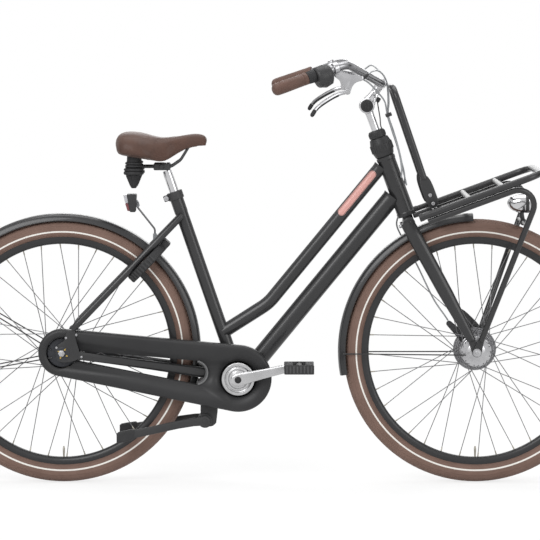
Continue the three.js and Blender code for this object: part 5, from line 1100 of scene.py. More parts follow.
# Ring lock: a ribbed horseshoe body in black resin round the tyre, screwed to the seat
# stays, with a round plated bolt that slides round inside it.
lock_centre = Vector((-0.32802, 0, 0.60332))
lock_z = Vector((-0.7197, 0, 0.6943))
lock_x = Vector((0.6943, 0, 0.7197))


def frame_at(place, ahead, up):
    """A frame at a place, with x ahead, y to the bicycle's left and z up."""
    turn = Matrix(((*ahead, 0), (*side, 0), (*up, 0), (0, 0, 0, 1))).transposed()
    turn.translation = place
    return turn


def lock_arc(bm, rows, start, stop, steps):
    """Rows of (radius, height) in mm spun round the lock's ring, from one turn to another."""
    loops = []
    for step in range(steps + 1):
        turn = start + (stop - start) * step / steps
        loops.append([bm.verts.new(mm(r * math.cos(turn), r * math.sin(turn), z)) for r, z in rows])
    skin(bm, loops)


lock_frame = frame_at(lock_centre, lock_x, lock_z)
lock_rows = rounded([(62, -11.8), (71, -11.8), (73.8, -9), (73.8, 9), (71, 11.8), (53, 11.8), (50.3, 9),
                     (50.3, -9), (53, -11.8), (62, -11.8)], 1.4)[:-1]
bm = bmesh.new()
reach = math.pi - math.radians(34.5)
lock_arc(bm, lock_rows, -reach, reach, 72)
block_in(bm, (62, -30, -11.4), (84, 30, 11.4), 4.0, 3)
moved_by(bm, lock_frame)
joined(bm, "ring_lock_case", pedal_black, "frame", "dark_plastic", 40, "ring_lock")
bm = bmesh.new()
half_rib = 0.035
ribs = [(74.0, -9.4), (75.4, -8.8), (75.4, 8.8), (74.0, 9.4), (72.6, 8.8), (72.6, -8.8)]
for index in range(9):
    for hand in (1, -1):
        middle = hand * (math.radians(70) + index * math.radians(8))
        lock_arc(bm, ribs, middle - half_rib, middle + half_rib, 3)
moved_by(bm, lock_frame)
joined(bm, "ring_lock_ribs", stand_black, "frame", "dark_plastic", 40)
bolt_points = [lock_frame @ mm(60 * math.cos(t), 60 * math.sin(t), 0)
               for t in (math.radians(144.4 - 104 * k / 26) for k in range(27))]
bolt = [(p, 4.0) for p in bolt_points]
bolt[0] = (bolt[0][0], 2.6)
rod_piece([bolt], "ring_lock_bolt_rod", 16, axle_steel, "lock_bolt", "drive_steel", 40, "ring_lock_bolt")

# Rear lamp on its thin steel rod: a dark housing with a clear reflector above the red
# lens at the back, held to the seat stay bridge by a small grey clip.
lamp_dark = look("lamp_housing", (0.03, 0.03, 0.031), (0.022, 0.022, 0.023), (0.36, 0.5), 40.0, 900.0,
                 0.00003)
lens_red = look("red_lens", (0.17, 0.045, 0.05), (0.12, 0.03, 0.034), (0.16, 0.28), 40.0, 500.0, 0.00002,
                coat=0.4)
lens_clear = look("clear_lens", (0.46, 0.46, 0.48), (0.36, 0.36, 0.38), (0.08, 0.2), 40.0, 500.0, 0.00002,
                  coat=0.6)
clip_grey = look("grey_clip", (0.26, 0.27, 0.28), (0.2, 0.21, 0.22), (0.4, 0.6), 60.0, 800.0, 0.00003)


def prism(bm, outline, half_width, edge):
    """A block from an outline in x and z, symmetrical about y, with rounded edges."""
    slab(bm, [Vector(p) for p in outline], -half_width, half_width, 0)
    bmesh.ops.bevel(bm, geom=list(bm.edges), offset=edge * MM, segments=3, affect="EDGES", profile=0.5,
                    material=-1)


lamp_parts = [
    ("housing", lamp_dark, [(175.5, 792.4), (184.5, 743.4), (200.6, 743.4), (203.0, 792.4)], 22.6, 3.4),
    ("reflector", lens_clear, [(166.6, 790.5), (172.0, 768.4), (183.4, 768.4), (180.4, 790.5)], 19.6, 1.8),
    ("red_lens", lens_red, [(171.6, 767.4), (178.2, 746.4), (189.2, 746.4), (184.2, 767.4)], 19.6, 1.8)]
for name, finish, outline, half_width, edge in lamp_parts:
    replaced = ["rear_lamp"] if name == "housing" else []
    bm = bmesh.new()
    prism(bm, outline, half_width, edge)
    moved_by(bm, case_shift)
    joined(bm, f"rear_lamp_{name}", finish, "frame", "lamp_plastic", 40, *replaced)
rod_route = bent([at(200, 764), at(208, 752), at(252.2, 696), at(252.2, 666.4)], 14, 6)
rod_steel = look("lamp_rod_steel", (0.16, 0.16, 0.165), (0.11, 0.11, 0.115), (0.34, 0.5), 60.0, 600.0,
                 0.00002, metallic=0.8)
rod_piece([[(p, 2.6) for p in rod_route]], "rear_lamp_rod", 16, rod_steel, "frame", "lamp_plastic", 40)
bm = bmesh.new()
prism(bm, [(198.6, 775), (198.6, 757), (207.5, 754.5), (211, 760), (208.5, 770), (204, 776)], 6.4, 1.4)
screw = bmesh.new()
screw_head(screw, mm(206, -6.2, 765), (0, -1, 0), 4.2, 2.6)
add_shape(bm, screw)
block_in(bm, (247.0, -5.4, 666.2), (257.6, 5.4, 684), 1.6)
moved_by(bm, case_shift)
joined(bm, "rear_lamp_clip", clip_grey, "frame", "lamp_plastic", 40)

# Seat clamp and seat post: a black cast collar with two ears and a plated bolt, round a
# bright polished post that ends in the saddle's clamp head.
chrome = look("bright_chrome", (0.6, 0.6, 0.61), (0.5, 0.5, 0.51), (0.1, 0.2), 18.0, 260.0, 0.000006,
              metallic=1.0)
clamp_place = along(bracket, seat_up, 537)
saddle_pivot = Vector((-0.276097, 0, 0.867766))
seat_frame = frame_at(clamp_place, Vector((seat_up.z, 0, -seat_up.x)), seat_up)
bm = bmesh.new()
lathe(bm, rounded([(18.6, -22), (20.6, -22), (21.6, -20.6), (21.6, -1.4), (20.4, 0), (13.4, 0),
                   (13.4, -1.0), (18.6, -1.6), (18.6, -22)], 0.8), clamp_place, 64, seat_up)
for hand in (1, -1):
    ears = bmesh.new()
    low, high = sorted((hand * 1.2, hand * 9.8))
    block_in(ears, (-33.6, low, -19.4), (-17.6, high, -2.6), 3.2, 3)
    moved_by(ears, seat_frame)
    add_shape(bm, ears)
joined(bm, "seat_collar", stand_black, "frame", "dark_plastic", 35, "seat_clamp")
bm = bmesh.new()
bolt_place = seat_frame @ mm(-26.4, 0, -11)
for hand in (1, -1):
    lathe(bm, [(0, 14.8), (2.6, 14.8), (3.0, 13.0), (6.4, 12.8), (7.3, 11.8), (7.3, 10.2), (0, 10.2)],
          bolt_place, 28, (0, hand, 0))
joined(bm, "seat_collar_bolt", axle_steel, "frame", "drive_steel", 35)
bm = bmesh.new()
post_line = [(-183, 12.2), (-182, 12.7), (-22, 12.7), (-18, 12.2), (-12, 11.6)]
add_mesh(bm, rods([[(along(saddle_pivot, seat_up, s), r) for s, r in post_line]], "post", 40))
lathe(bm, rounded(mirrored([(0, -12), (9.0, -12), (10, -11)]), 0.8), saddle_pivot, 40)
joined(bm, "seat_post_tube", chrome, "seat_post_body", "bright_chrome", 40, "seat_post")

# Saddle frame: black sprung rails up to the nose, a pressed clamp on the post head and
# two ribbed rubber spring covers, each tapering to a blunt tip.
rubber_black = look("spring_rubber", (0.022, 0.022, 0.023), (0.014, 0.014, 0.015), (0.5, 0.68), 60.0,
                    900.0, 0.00006)
bm = bmesh.new()
rail_runs = []
rail_corners = [(-84, 34, 0), (-60, 25, 0), (16, 25, 0), (42, 23, 18), (69, 9, 62)]
for hand in (1, -1):
    route = bent([saddle_pivot + mm(x, hand * y, z) for x, y, z in rail_corners], 24, 9)
    rail_runs.append([(p, 3.9) for p in route])
add_mesh(bm, rods(rail_runs, "rails", 16))
for hand in (1, -1):
    low, high = sorted((hand * 12.8, hand * 31.5))
    clamp_bm = bmesh.new()
    block_in(clamp_bm, (-31.5, low, -9.6), (13.5, high, 9.6), 3.6, 3)
    moved_by(clamp_bm, Matrix.Translation(saddle_pivot))
    add_shape(bm, clamp_bm)
lathe(bm, mirrored([(0, -35.0), (5.6, -34.6), (6.2, -33.4)]), saddle_pivot + mm(-9, 0, 0), 24)
joined(bm, "saddle_rails_and_clamp", stand_black, "saddle", "dark_plastic", 40, "saddle_undercarriage")
bm = bmesh.new()
cover_profile = [
    (0, -58), (5.6, -57.6), (8.2, -55), (11, -48), (19.4, -25), (21.5, -21.8), (25.4, -20.8),
    (27.2, -18.8), (27.3, -14.4), (26, -12), (23.2, -11), (26.2, -9.6), (27, -7), (25.8, -4),
    (21, -2.8), (19.4, -1.4), (22.8, 0.2), (23.4, 2.8), (22.4, 5.2), (19.4, 6.2), (22.6, 7.8),
    (23.2, 10.4), (22, 12.8), (18.6, 14), (18, 31), (10.4, 33), (10.4, 56), (0, 56)]
for hand in (1, -1):
    foot = saddle_pivot + mm(-85, hand * 40, 0)
    lathe(bm, cover_profile, foot, 40, (0, 0, 1))
    for index in range(8):
        turn = index * math.pi / 4 + math.pi / 8
        out = Vector((math.cos(turn), math.sin(turn), 0))
        add_mesh(bm, rods([[(foot + out * 9.6 * MM + Vector((0, 0, -0.050)), 1.6),
                            (foot + out * 20.4 * MM + Vector((0, 0, -0.023)), 2.4)]], "fin", 8))
joined(bm, "saddle_spring_covers", rubber_black, "saddle", "dark_plastic", 40)

# Saddle: foam on a shell under a brown leather-look skin, swollen by a short cloth
# simulation from the stretched outline, with a stitched welt low round its back.
saddle_skin = look("saddle_leather", (0.084, 0.043, 0.031), (0.058, 0.030, 0.022), (0.48, 0.66), 26.0,
                   420.0, 0.0003, coat=0.06, specular=0.24, sheen_weight=0.05)
stations = [(0, 0.16, 0.6, 0.38), (0.03, 0.36, 0.82, 0.25), (0.085, 0.46, 0.95, 0.2),
            (0.18, 0.5, 0.99, 0.165), (0.29, 0.5, 0.94, 0.11), (0.405, 0.44, 0.835, 0.03),
            (0.5, 0.34, 0.775, -0.04), (0.58, 0.26, 0.78, 0.02), (0.675, 0.19, 0.835, 0.21),
            (0.77, 0.16, 0.915, 0.36), (0.87, 0.145, 0.975, 0.45), (0.95, 0.13, 0.95, 0.49),
            (0.985, 0.105, 0.88, 0.5), (1, 0.07, 0.8, 0.52)]
saddle_back, saddle_length, saddle_width, saddle_foot, saddle_depth = 140, 259, 200, 880, 85


def station_at(share):
    """The outline's half width, top and bottom at a place between two stations, eased."""
    for one, two in zip(stations, stations[1:]):
        if share <= two[0]:
            t = (share - one[0]) / (two[0] - one[0])
            before = stations[max(0, stations.index(one) - 1)]
            after = stations[min(len(stations) - 1, stations.index(two) + 1)]
            out = []
            for k in (1, 2, 3):
                gap = two[0] - one[0]
                m1 = (two[k] - before[k]) / max(1e-6, two[0] - before[0]) * gap
                m2 = (after[k] - one[k]) / max(1e-6, after[0] - one[0]) * gap
                out.append((2 * t ** 3 - 3 * t ** 2 + 1) * one[k] + (t ** 3 - 2 * t ** 2 + t) * m1
                           + (3 * t ** 2 - 2 * t ** 3) * two[k] + (t ** 3 - t ** 2) * m2)
            return out
    return list(stations[-1][1:])


def saddle_shape(shrink):
    """The saddle's outline as a closed skin, drawn in along its normals by shrink mm."""
    bm = bmesh.new()
    loops = []
    count = 44
    places = [0.0, 0.006, 0.015] + [0.03 + 0.955 * k / 40 for k in range(41)] + [0.993, 1.0]
    for share in places:
        half, top, bottom = station_at(share)
        half, rise = half * saddle_width, (top - bottom) * saddle_depth
        low = saddle_foot + bottom * saddle_depth
        if share in (0.0, 1.0):
            half, middle = half * 0.55, low + rise * 0.5
            low, rise = middle - rise * 0.28, rise * 0.56
        loop = []
        for k in range(count):
            turn = 2 * math.pi * k / count
            c, s = math.cos(turn), math.sin(turn)
            y = half * squared(c, 0.72)
            if s >= 0:
                z = low + rise * (0.1 + 0.9 * s ** 0.78)
            else:
                z = low + rise * 0.1 * (1 + s) ** 2 + rise * 0.14 * max(0.0, -s - 0.8) / 0.2
            loop.append(bm.verts.new(at(saddle_back + share * saddle_length, z, y)))
        loops.append(loop)
    skin(bm, loops)
    bmesh.ops.recalc_face_normals(bm, faces=bm.faces)
    bm.normal_update()
    moves = [(v, v.normal * -shrink * MM) for v in bm.verts]
    for vert, move in moves:
        vert.co += move
    mesh = bpy.data.meshes.new("saddle_form")
    bm.to_mesh(mesh)
    bm.free()
    return mesh


def swollen(mesh, name, voxel, pressure, cap):
    """The form remeshed and blown up a little as cloth, each point by no more than cap."""
    frames = 20
    piece = bpy.data.objects.new(name, mesh)
    scene.collection.objects.link(piece)
    for item in bpy.context.view_layer.objects:
        item.select_set(False)
    piece.select_set(True)
    bpy.context.view_layer.objects.active = piece
    remesh = piece.modifiers.new("voxels", "REMESH")
    remesh.mode = "VOXEL"
    remesh.voxel_size = voxel
    smooth = piece.modifiers.new("smooth", "SMOOTH")
    smooth.iterations = 12
    for modifier in list(piece.modifiers):
        bpy.ops.object.modifier_apply(modifier=modifier.name)
    rest = [v.co.copy() for v in piece.data.vertices]
    cloth = piece.modifiers.new("foam", "CLOTH")
    cloth.settings.quality = 6
    cloth.settings.mass = 0.3
    cloth.settings.tension_stiffness = 22
    cloth.settings.compression_stiffness = 22
    cloth.settings.bending_stiffness = 4
    cloth.settings.use_pressure = True
    cloth.settings.uniform_pressure_force = pressure
    cloth.settings.effector_weights.gravity = 0
    cloth.point_cache.frame_start = 1
    cloth.point_cache.frame_end = frames
    for number in range(1, frames + 1):
        scene.frame_set(number)
    shape = piece.evaluated_get(bpy.context.evaluated_depsgraph_get())
    grown = [v.co.copy() for v in shape.data.vertices]
    piece.modifiers.remove(cloth)
    scene.frame_set(1)
    for vert, one, two in zip(piece.data.vertices, rest, grown):
        move = two - one
        if move.length > cap:
            move = move.normalized() * cap
        vert.co = one + move
    return piece


saddle = swollen(saddle_shape(4.0), "saddle_cover_skin", 0.004, 4.0, 0.0055)
welt_width, welt_depth, welt_lift, welt_share = 0.0045, 0.0011, 0.004, 0.105
welt_bm = bmesh.new()
welt_bm.from_mesh(saddle.data)
welt_bm.normal_update()
for vert in welt_bm.verts:
    share = ((vert.co.x + rear_x) / MM - saddle_back) / saddle_length
    top, bottom = station_at(min(1.0, max(0.0, share)))[1:]
    height = bottom + welt_share * (top - bottom)
    line = saddle_foot * MM + height * (saddle_depth * MM) + welt_lift
    off = abs(vert.co.z - line)
    if off < welt_width and abs(vert.normal.z) < 0.85:
        vert.co -= vert.normal * welt_depth * (1 - off / welt_width)
welt_bm.to_mesh(saddle.data)
welt_bm.free()
finer = saddle.modifiers.new("finer", "SUBSURF")
finer.levels = finer.render_levels = 1
saddle.data.shade_smooth()
saddle.data.materials.clear()
saddle.data.materials.append(saddle_skin)
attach(saddle, "saddle")
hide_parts("saddle_cover")

# Fork: drawn steel blades under a round cast crown, enamelled like the frame; pressed tips
# hold the axle, a plate on the left blade the brake, and a bolt in the crown the mudguard.
steer_frame = frame_at(head_foot, head_ahead, head_up)


def steer(x, y, z):
    """A point from mm ahead of, beside and up the steering axis, from the head tube's foot."""
    return steer_frame @ mm(x, y, z)


bm = bmesh.new()
rings = []
for share, depth, width in ((0, 0.72, 0.8), (0.05, 0.9, 0.93), (0.13, 1, 1), (0.34, 0.96, 0.95),
                            (0.6, 0.87, 0.84), (0.8, 0.47, 0.45), (0.94, 0.14, 0.13), (0.99, 0, 0),
                            (1, -0.5, -0.5)):
    level = -14 - 366 * share
    rings.append((mm(-8.4 - 0.15 * level, 44 + 12 * share, level),
                  Vector(((12 + 8.5 * depth) * MM, 0, 0)), Vector((0, (7 + 6 * width) * MM, 0))))
lofted(bm, rings, 28)
slab(bm, belt_loop((50.2, -413.8), 13, (48.6, -376), 9, 40), 50.3, 55, 0.8)
lathe(bm, [(17, 0), (17, 41), (16.2, 43.2), (14, 44), (0, 44)], mm(-2.1, 0, -20), 40)
moved_by(bm, steer_frame)
mirrored_half(bm, "fork_blades_and_crown", paint_black, "steering", "frame_paint", 35, "fork")
steerer = [(steer(0, 0, z), 14.3) for z in (-16, 178)]
rod_piece([steerer], "fork_steerer", 40, paint_black, "steering", "frame_paint", 40)
bm = bmesh.new()
web = [(-34, 112), (-50, 108), (-52, 62), (-24, 40), (-4, 46), (16, 60), (8, 72)]
slab(bm, softened([Vector(p) for p in web]), 50.6, 54.2, 0.6)
moved_by(bm, Matrix.Translation(front_axle))
joined(bm, "brake_reaction_plate", paint_black, "steering", "frame_paint", 35)
bm = bmesh.new()
lathe(bm, [(0, 31), (3.6, 30.4), (4.6, 28.6), (4.8, 24), (6.8, 23.8), (6.8, 21), (4, 20.6), (4, 15),
           (0, 15)], steer(0, 0, -22), 24, -head_ahead)
joined(bm, "crown_bolt", axle_steel, "steering", "frame_paint", 30)

# Steering lock: a black moulded housing with a ribbed belly over the headset, under a
# lock nut with a rounded top.
housing_black = look("housing_resin", (0.034, 0.034, 0.035), (0.026, 0.026, 0.027), (0.34, 0.5), 50.0,
                     900.0, 0.00004)
bm = bmesh.new()
lathe(bm, rounded([(14.6, 173.6), (24.2, 173.6), (25.8, 175.6), (29.2, 187.6), (30, 190), (30, 209),
                   (29.2, 211.6), (25.4, 225.4), (24, 226.4), (14.6, 226.4), (14.6, 173.6)], 1.4),
      head_foot, 72, head_up)
lathe(bm, rounded([(11.4, 226.9), (21.6, 226.9), (23, 228.4), (23, 242.6), (21.2, 247), (16.6, 248.9),
                   (11.4, 248.9), (11.4, 226.9)], 1.6), head_foot, 64, head_up)
joined(bm, "steering_lock_housing", housing_black, "steering", "dark_plastic", 35, "lock_housing")
bm = bmesh.new()
for index in range(26):
    rib = bmesh.new()
    block_in(rib, (28.9, -1.5, 188.6), (31.3, 1.5, 210.6), 1.0)
    block_in(rib, (22.2, -1.2, 230.5), (23.9, 1.2, 242.4), 0.8)
    moved_by(rib, steer_frame @ Matrix.Rotation(index * math.pi / 13, 4, "Z"))
    add_shape(bm, rib)
joined(bm, "steering_lock_ribs", stand_black, "steering", "dark_plastic", 40)

# Stem: a plated quill in the steerer ending in a flat lug, and an adjustable arm between
# two round cheeks, with a ribbed black cap on the pivot and a small clamp knob in front.
stem_pivot = Vector((0.27311, 0, 1.03305))


def cockpit(x, y, z):
    """A point in mm ahead of, beside and above the stem's pivot."""
    return stem_pivot + mm(x, y, z)


bm = bmesh.new()
quill = [(130, 11, 11), (288, 11, 11), (297, 11.6, 10.4), (306, 13.4, 9.2), (314, 15.4, 8.9),
         (319, 15.6, 8.8)]
rings = [(mm(0, 0, z), Vector((a * MM, 0, 0)), Vector((0, b * MM, 0))) for z, a, b in quill]
lofted(bm, rings, 32)
lathe(bm, rounded(mirrored([(0, -9), (15.8, -9), (17, -8)]), 0.7), Vector((0, 0, 0.3197)), 48)
moved_by(bm, steer_frame)
joined(bm, "stem_quill_and_lug", chrome, "steering", "bright_chrome", 35, "stem_quill")
stem_way = Vector((38, 0, 61)).normalized()
stem_across = Vector((stem_way.z, 0, -stem_way.x))
bm = bmesh.new()
arm = [(21, 11.6, 13.6), (27, 12, 15), (40, 11.8, 15), (54, 11.6, 15.4), (64, 12.4, 17), (71, 12, 17.4)]
rings = [(stem_way * s * MM, stem_across * a * MM, side * b * MM) for s, a, b in arm]
lofted(bm, rings, 32)
cheek = [(2, 14.8, 20.4, 5.2), (14, 14.6, 17.2, 5.1), (28, 13.2, 12.8, 5.0), (42, 10.4, 11.4, 4.6)]
for hand in (1, -1):
    lathe(bm, rounded([(0, 9.4), (20.2, 9.4), (21, 10.2), (21, 18.2), (19, 20.3), (0, 20.3)], 1.0),
          Vector(), 48, (0, hand, 0))
    rings = [(stem_way * s * MM + side * hand * y * MM, stem_across * a * MM, side * b * MM)
             for s, y, a, b in cheek]
    lofted(bm, rings, 28)
lathe(bm, rounded(mirrored([(11.3, -21), (13.4, -21), (14.6, -20)]) + [(11.3, -21)], 0.8),
      Vector((0.038, 0, 0.061)), 48)
rings = [(mm(38, 0, 61) - stem_way * s * MM + stem_across * 15.5 * MM, stem_way * 6 * MM, side * 11 * MM)
         for s in (2, 10)]
lofted(bm, rings, 24)
moved_by(bm, Matrix.Translation(stem_pivot))
joined(bm, "stem_arm_and_clamp", chrome, "cockpit", "bright_chrome", 35, "stem_arm")
bm = bmesh.new()
for hand in (1, -1):
    lathe(bm, rounded([(0, 20.4), (17.4, 20.4), (17.4, 23.4), (16, 24.6), (0, 24.6)], 0.8), Vector(), 48,
          (0, hand, 0))
    for index in range(7):
        ridge = bmesh.new()
        x = (index - 3) * 4.3
        half = math.sqrt(15 ** 2 - x * x)
        low, high = sorted((hand * 23.6, hand * 26.0))
        block_in(ridge, (x - 1.1, low, -half), (x + 1.1, high, half), 0.7)
        add_shape(bm, ridge)
lathe(bm, rounded([(0, 10), (5.6, 10), (7, 11.6), (7, 22), (5.6, 23.6), (0, 23.6)], 1.0),
      stem_way * 30 * MM, 28, stem_across)
moved_by(bm, Matrix.Translation(stem_pivot))
joined(bm, "stem_caps_and_knob", housing_black, "cockpit", "dark_plastic", 35)

# Handlebar: one swept-back alloy tube, brushed and plated, bent from the clamp out to two
# raised shoulders and back to the grips; the stem's clamp holds it.
bar_end, bar_shoulder, bar_middle = (-252.8, 290, 49), (-60, 217, 117), (38, 28, 61)
corners = [cockpit(x, -y, z) for x, y, z in (bar_end, bar_shoulder, bar_middle)]
corners += [cockpit(*p) for p in (bar_middle, bar_shoulder, bar_end)]
bar_chrome = look("brushed_bar", (0.30, 0.30, 0.31), (0.22, 0.22, 0.225), (0.2, 0.32), 18.0, 320.0,
                  0.000008, metallic=1.0)
bar = [(place, 11) for place in bent(corners, 55, 12)]
rod_piece([bar], "handlebar_tube", 36, bar_chrome, "cockpit", "bright_chrome", 40, "handlebar")

# Grips: moulded in brown with a rounded end and a raised ring at the inner end, pushed
# over the bar; the right one is shorter because the gear shifter sits beside it.
grip_leather = look("grip_leather", (0.112, 0.060, 0.045), (0.080, 0.043, 0.032), (0.5, 0.66), 40.0,
                    520.0, 0.00016, sheen_weight=0.1)


def bar_line(hand):
    """The bar's end, the way along it towards the middle, and the way down across it."""
    end, shoulder = (cockpit(x, hand * y, z) for x, y, z in (bar_end, bar_shoulder))
    way = (shoulder - end).normalized()
    return end, way, (Vector((0, 0, -1)) + way * way.z).normalized()


for hand, length, name in ((1, 122, "left"), (-1, 98, "right")):
    end, way = bar_line(hand)[:2]
    bm = bmesh.new()
    profile = [(0, -4), (5, -3.8), (9.6, -2.6), (13.2, 0.2), (15.6, 4), (16.6, 8.4), (16.9, 13),
               (16.3, 14), (16.9, 15)]
    profile += [(16.9, 34), (16.5, length * 0.6), (16.1, length - 13), (15.3, length - 12.2),
                (15.3, length - 11.4)]
    profile += [(16.3, length - 10.6), (16.4, length - 2), (15.4, length - 0.4), (11.3, length),
                (11.3, 2), (0, 2)]
    lathe(bm, profile, end, 56, way)
    joined(bm, f"{name}_grip_cover", grip_leather, "cockpit", "brown_cover", 45, f"grip_{name}")

# Twist shifter: a ribbed black sleeve beside the right grip, and the rounded housing
# that guides its cable, with a round cover and a cable exit underneath.
end, way, down = bar_line(-1)
bm = bmesh.new()
lathe(bm, rounded([(11.3, 98.4), (15.2, 98.4), (16, 99.2), (17.6, 120.4), (16.8, 121.2), (11.3, 121.2),
                   (11.3, 98.4)], 0.6), end, 48, way)
for index in range(20):
    turn = index * math.pi / 10
    out = Matrix.Rotation(turn, 4, way) @ down
    add_mesh(bm, rods([[(along(end + out * 15.6 * MM, way, 100.4), 0.9),
                        (along(end + out * 17.0 * MM, way, 119), 0.9)]], "rib", 6))
joined(bm, "twist_sleeve", rubber_black, "twist_shifter", "dark_plastic", 40, "shift_grip")
bm = bmesh.new()
middle = along(along(end, way, 121.7), down, 8)
lathe(bm, rounded([(0, 0), (22, 0), (26.4, 1.6), (28.6, 6), (29, 12), (29, 27), (27.4, 31), (27.2, 37),
                   (23, 43), (17, 46), (0, 46)], 1.6), middle, 56, way)
swell = [(6, 12, 15), (22, 15, 18), (38, 14, 15), (44, 11, 9)]
bulge = [(along(along(middle, way, s), down, d), r) for s, d, r in swell]
add_mesh(bm, rods([bulge], "bulge", 28))
add_mesh(bm, rods([[(cockpit(-128, -220, 84), 7.0), (cockpit(-113, -215.6, 90), 5.4),
                    (cockpit(-107, -213.5, 92), 3.4)]], "exit", 20))
joined(bm, "shifter_housing_shell", housing_black, "cockpit", "dark_plastic", 35, "shifter_housing")

# Brake levers: a cast clamp and body on the bar, a forged lever with a black pad and tip,
# and the threaded barrel that takes the cable.
lever_alloy = look("lever_alloy", (0.46, 0.46, 0.47), (0.36, 0.36, 0.37), (0.18, 0.32), 30.0, 400.0,
                   0.00001, metallic=1.0)


def swept_oval(bm, route, sizes):
    """A bar along a route; each size is its half width and half height in mm."""
    rings = []
    for index, place in enumerate(route):
        way = (route[min(index + 1, len(route) - 1)] - route[max(index - 1, 0)]).normalized()
        across = way.cross(Vector((0, 0, 1))).normalized()
        wide, tall = sizes[index]
        rings.append((place, across * wide * MM, across.cross(way).normalized() * tall * MM))
    lofted(bm, rings, 18)


def flowing(points, steps):
    """A smooth line through the points, as a drawn lever or a held cable runs."""
    points = [Vector(p) for p in points]
    points = [2 * points[0] - points[1]] + points + [2 * points[-1] - points[-2]]
    line = []
    for a, b, c, d in zip(points, points[1:], points[2:], points[3:]):
        one, two, three = ((q - p).length ** 0.5 for p, q in ((a, b), (b, c), (c, d)))
        t1, t2, t3 = one, one + two, one + two + three
        for step in range(steps):
            t = t1 + (t2 - t1) * step / steps
            a1, a2, a3 = a.lerp(b, t / t1), b.lerp(c, (t - t1) / (t2 - t1)), c.lerp(d, (t - t2) / (t3 - t2))
            b1, b2 = a1.lerp(a2, t / t2), a2.lerp(a3, (t - t1) / (t3 - t1))
            line.append(b1.lerp(b2, (t - t1) / (t2 - t1)))
    return line + [points[-2]]


lever_x, lever_y, lever_z = -58, 236.8, 44
lever_line = [(-0.04, -0.02, -0.01), (0.26, 0.1, 0.14), (0.6, 0.38, 0.5), (0.86, 0.68, 0.85), (1, 1, 1)]
for hand, name in ((1, "left"), (-1, "right")):
    end, way = bar_line(hand)[:2]
    bm = bmesh.new()
    lathe(bm, rounded([(11.2, 176), (14.4, 176), (15.5, 177), (15.5, 189), (14.4, 190), (11.2, 190),
                       (11.2, 176)], 0.8), end, 40, way)
    shares = [(0, 0.95), (0.16, 1), (0.5, 0.84), (0.94, 0.76), (1, 0.58), (0.74, 0.5), (0.62, 0.3),
              (0.56, 0.02), (0.4, 0.02), (0.4, 0.34), (0.26, 0.56), (0.06, 0.74)]
    body_bm = bmesh.new()
    slab(body_bm, softened([(-100 + 86 * u, 36 + 66 * w) for u, w in shares]), 218, 232, 2.2)
    for x, z in ((lever_x, lever_z), (-84, 92)):
        screw_head(body_bm, mm(x, 231.6, z), (0, 1, 0), 3.8, 2.4)
    lathe(body_bm, [(0, -1), (4.4, -1), (4.4, 5), (5.4, 5.4), (5.4, 10), (4.2, 10.6), (3.4, 14), (0, 14)],
          mm(-24, 225, 76), 24, (6.6, 0, 4.3))
    if hand < 0:
        bmesh.ops.scale(body_bm, vec=(1, -1, 1), verts=body_bm.verts)
    moved_by(body_bm, Matrix.Translation(stem_pivot))
    add_shape(bm, body_bm)
    joined(bm, f"{name}_lever_clamp", lever_alloy, "cockpit", "brake_alloy", 35, f"brake_bracket_{name}")
    route = flowing([cockpit(lever_x - 95 * run, hand * (lever_y + 50 * flare), lever_z - 61 * fall)
                     for run, fall, flare in lever_line], 6)
    count = len(route) - 1
    bm = bmesh.new()
    swept_oval(bm, route, [(3.8, 5.8 - 0.9 * index / count) for index in range(count + 1)])
    lathe(bm, rounded(mirrored([(0, -4), (7.2, -4), (8, -3.2)]), 0.6),
          cockpit(lever_x, hand * lever_y, lever_z), 32)
    joined(bm, f"{name}_brake_lever", lever_alloy, f"{name}_lever", "brake_alloy", 35,
           f"brake_lever_{name}")
    bm = bmesh.new()
    pad = [place + mm(0, 0, -3.0) for place in route[int(count * 0.28):int(count * 0.86)]]
    swept_oval(bm, pad, [(3.9, 3.9)] * len(pad))
    tip = route[int(count * 0.84):] + [route[-1] + (route[-1] - route[-2]).normalized() * 3.5 * MM]
    sizes = [(4.6, 6.0)] * len(tip)
    sizes[0], sizes[-2], sizes[-1] = (4.2, 5.4), (4.4, 5.6), (2.6, 3.4)
    swept_oval(bm, tip, sizes)
    joined(bm, f"{name}_lever_pad_and_tip", rubber_black, f"{name}_lever", "dark_plastic", 40)

# Front carrier: enamelled steel tubes bolted to the crown, with two struts down to the
# axle and an upright loop on flattened feet, each held by two plated bolts.
rail_corners = [(31, -170, -6), (374, -170, -6), (374, 170, -6), (31, 170, -6)]
rail_route = bent([mm(*p) for p in rail_corners], 45, 10)
runs = [[(place, 9.5) for place in rail_route]]
runs += [[(mm(x, -170, -6), 8), (mm(x, 170, -6), 8)] for x in (76, 170.8, 265.4)]
bm = bmesh.new()
add_mesh(bm, rods(runs, "deck", 28))
block_in(bm, (16, -15, -13), (76, 15, 1), 3.0, 3)
moved_by(bm, steer_frame)
joined(bm, "carrier_deck_tubes", paint_black, "steering", "frame_paint", 35, "carrier_deck")
corner, foot = mm(379, 170, -23.8), mm(72.2, 64, -386.8)
strut = bent([mm(45, 170, -23.8), corner, foot], 45, 10)
bm = bmesh.new()
add_mesh(bm, rods([[(place, 8) for place in strut]], "strut", 28))
bar_place = corner.lerp(foot, 0.2815)
add_mesh(bm, rods([[(bar_place, 6), (Vector((bar_place.x, 0, bar_place.z)), 6)]], "bar", 20))
slab(bm, belt_loop((50.2, -413.8), 12.6, (72.2, -386.8), 8, 40), 55.3, 60.3, 0.8)
moved_by(bm, steer_frame)
mirrored_half(bm, "carrier_strut_tubes", paint_black, "steering", "frame_paint", 35, "carrier_struts")
bm = bmesh.new()
loop_corners = [(76, -105, 85), (82, -105, 345), (82, 105, 345), (76, 105, 85)]
loop_route = bent([mm(*p) for p in loop_corners], 38, 12)
add_mesh(bm, rods([[(place, 8.5) for place in loop_route]], "loop", 28))
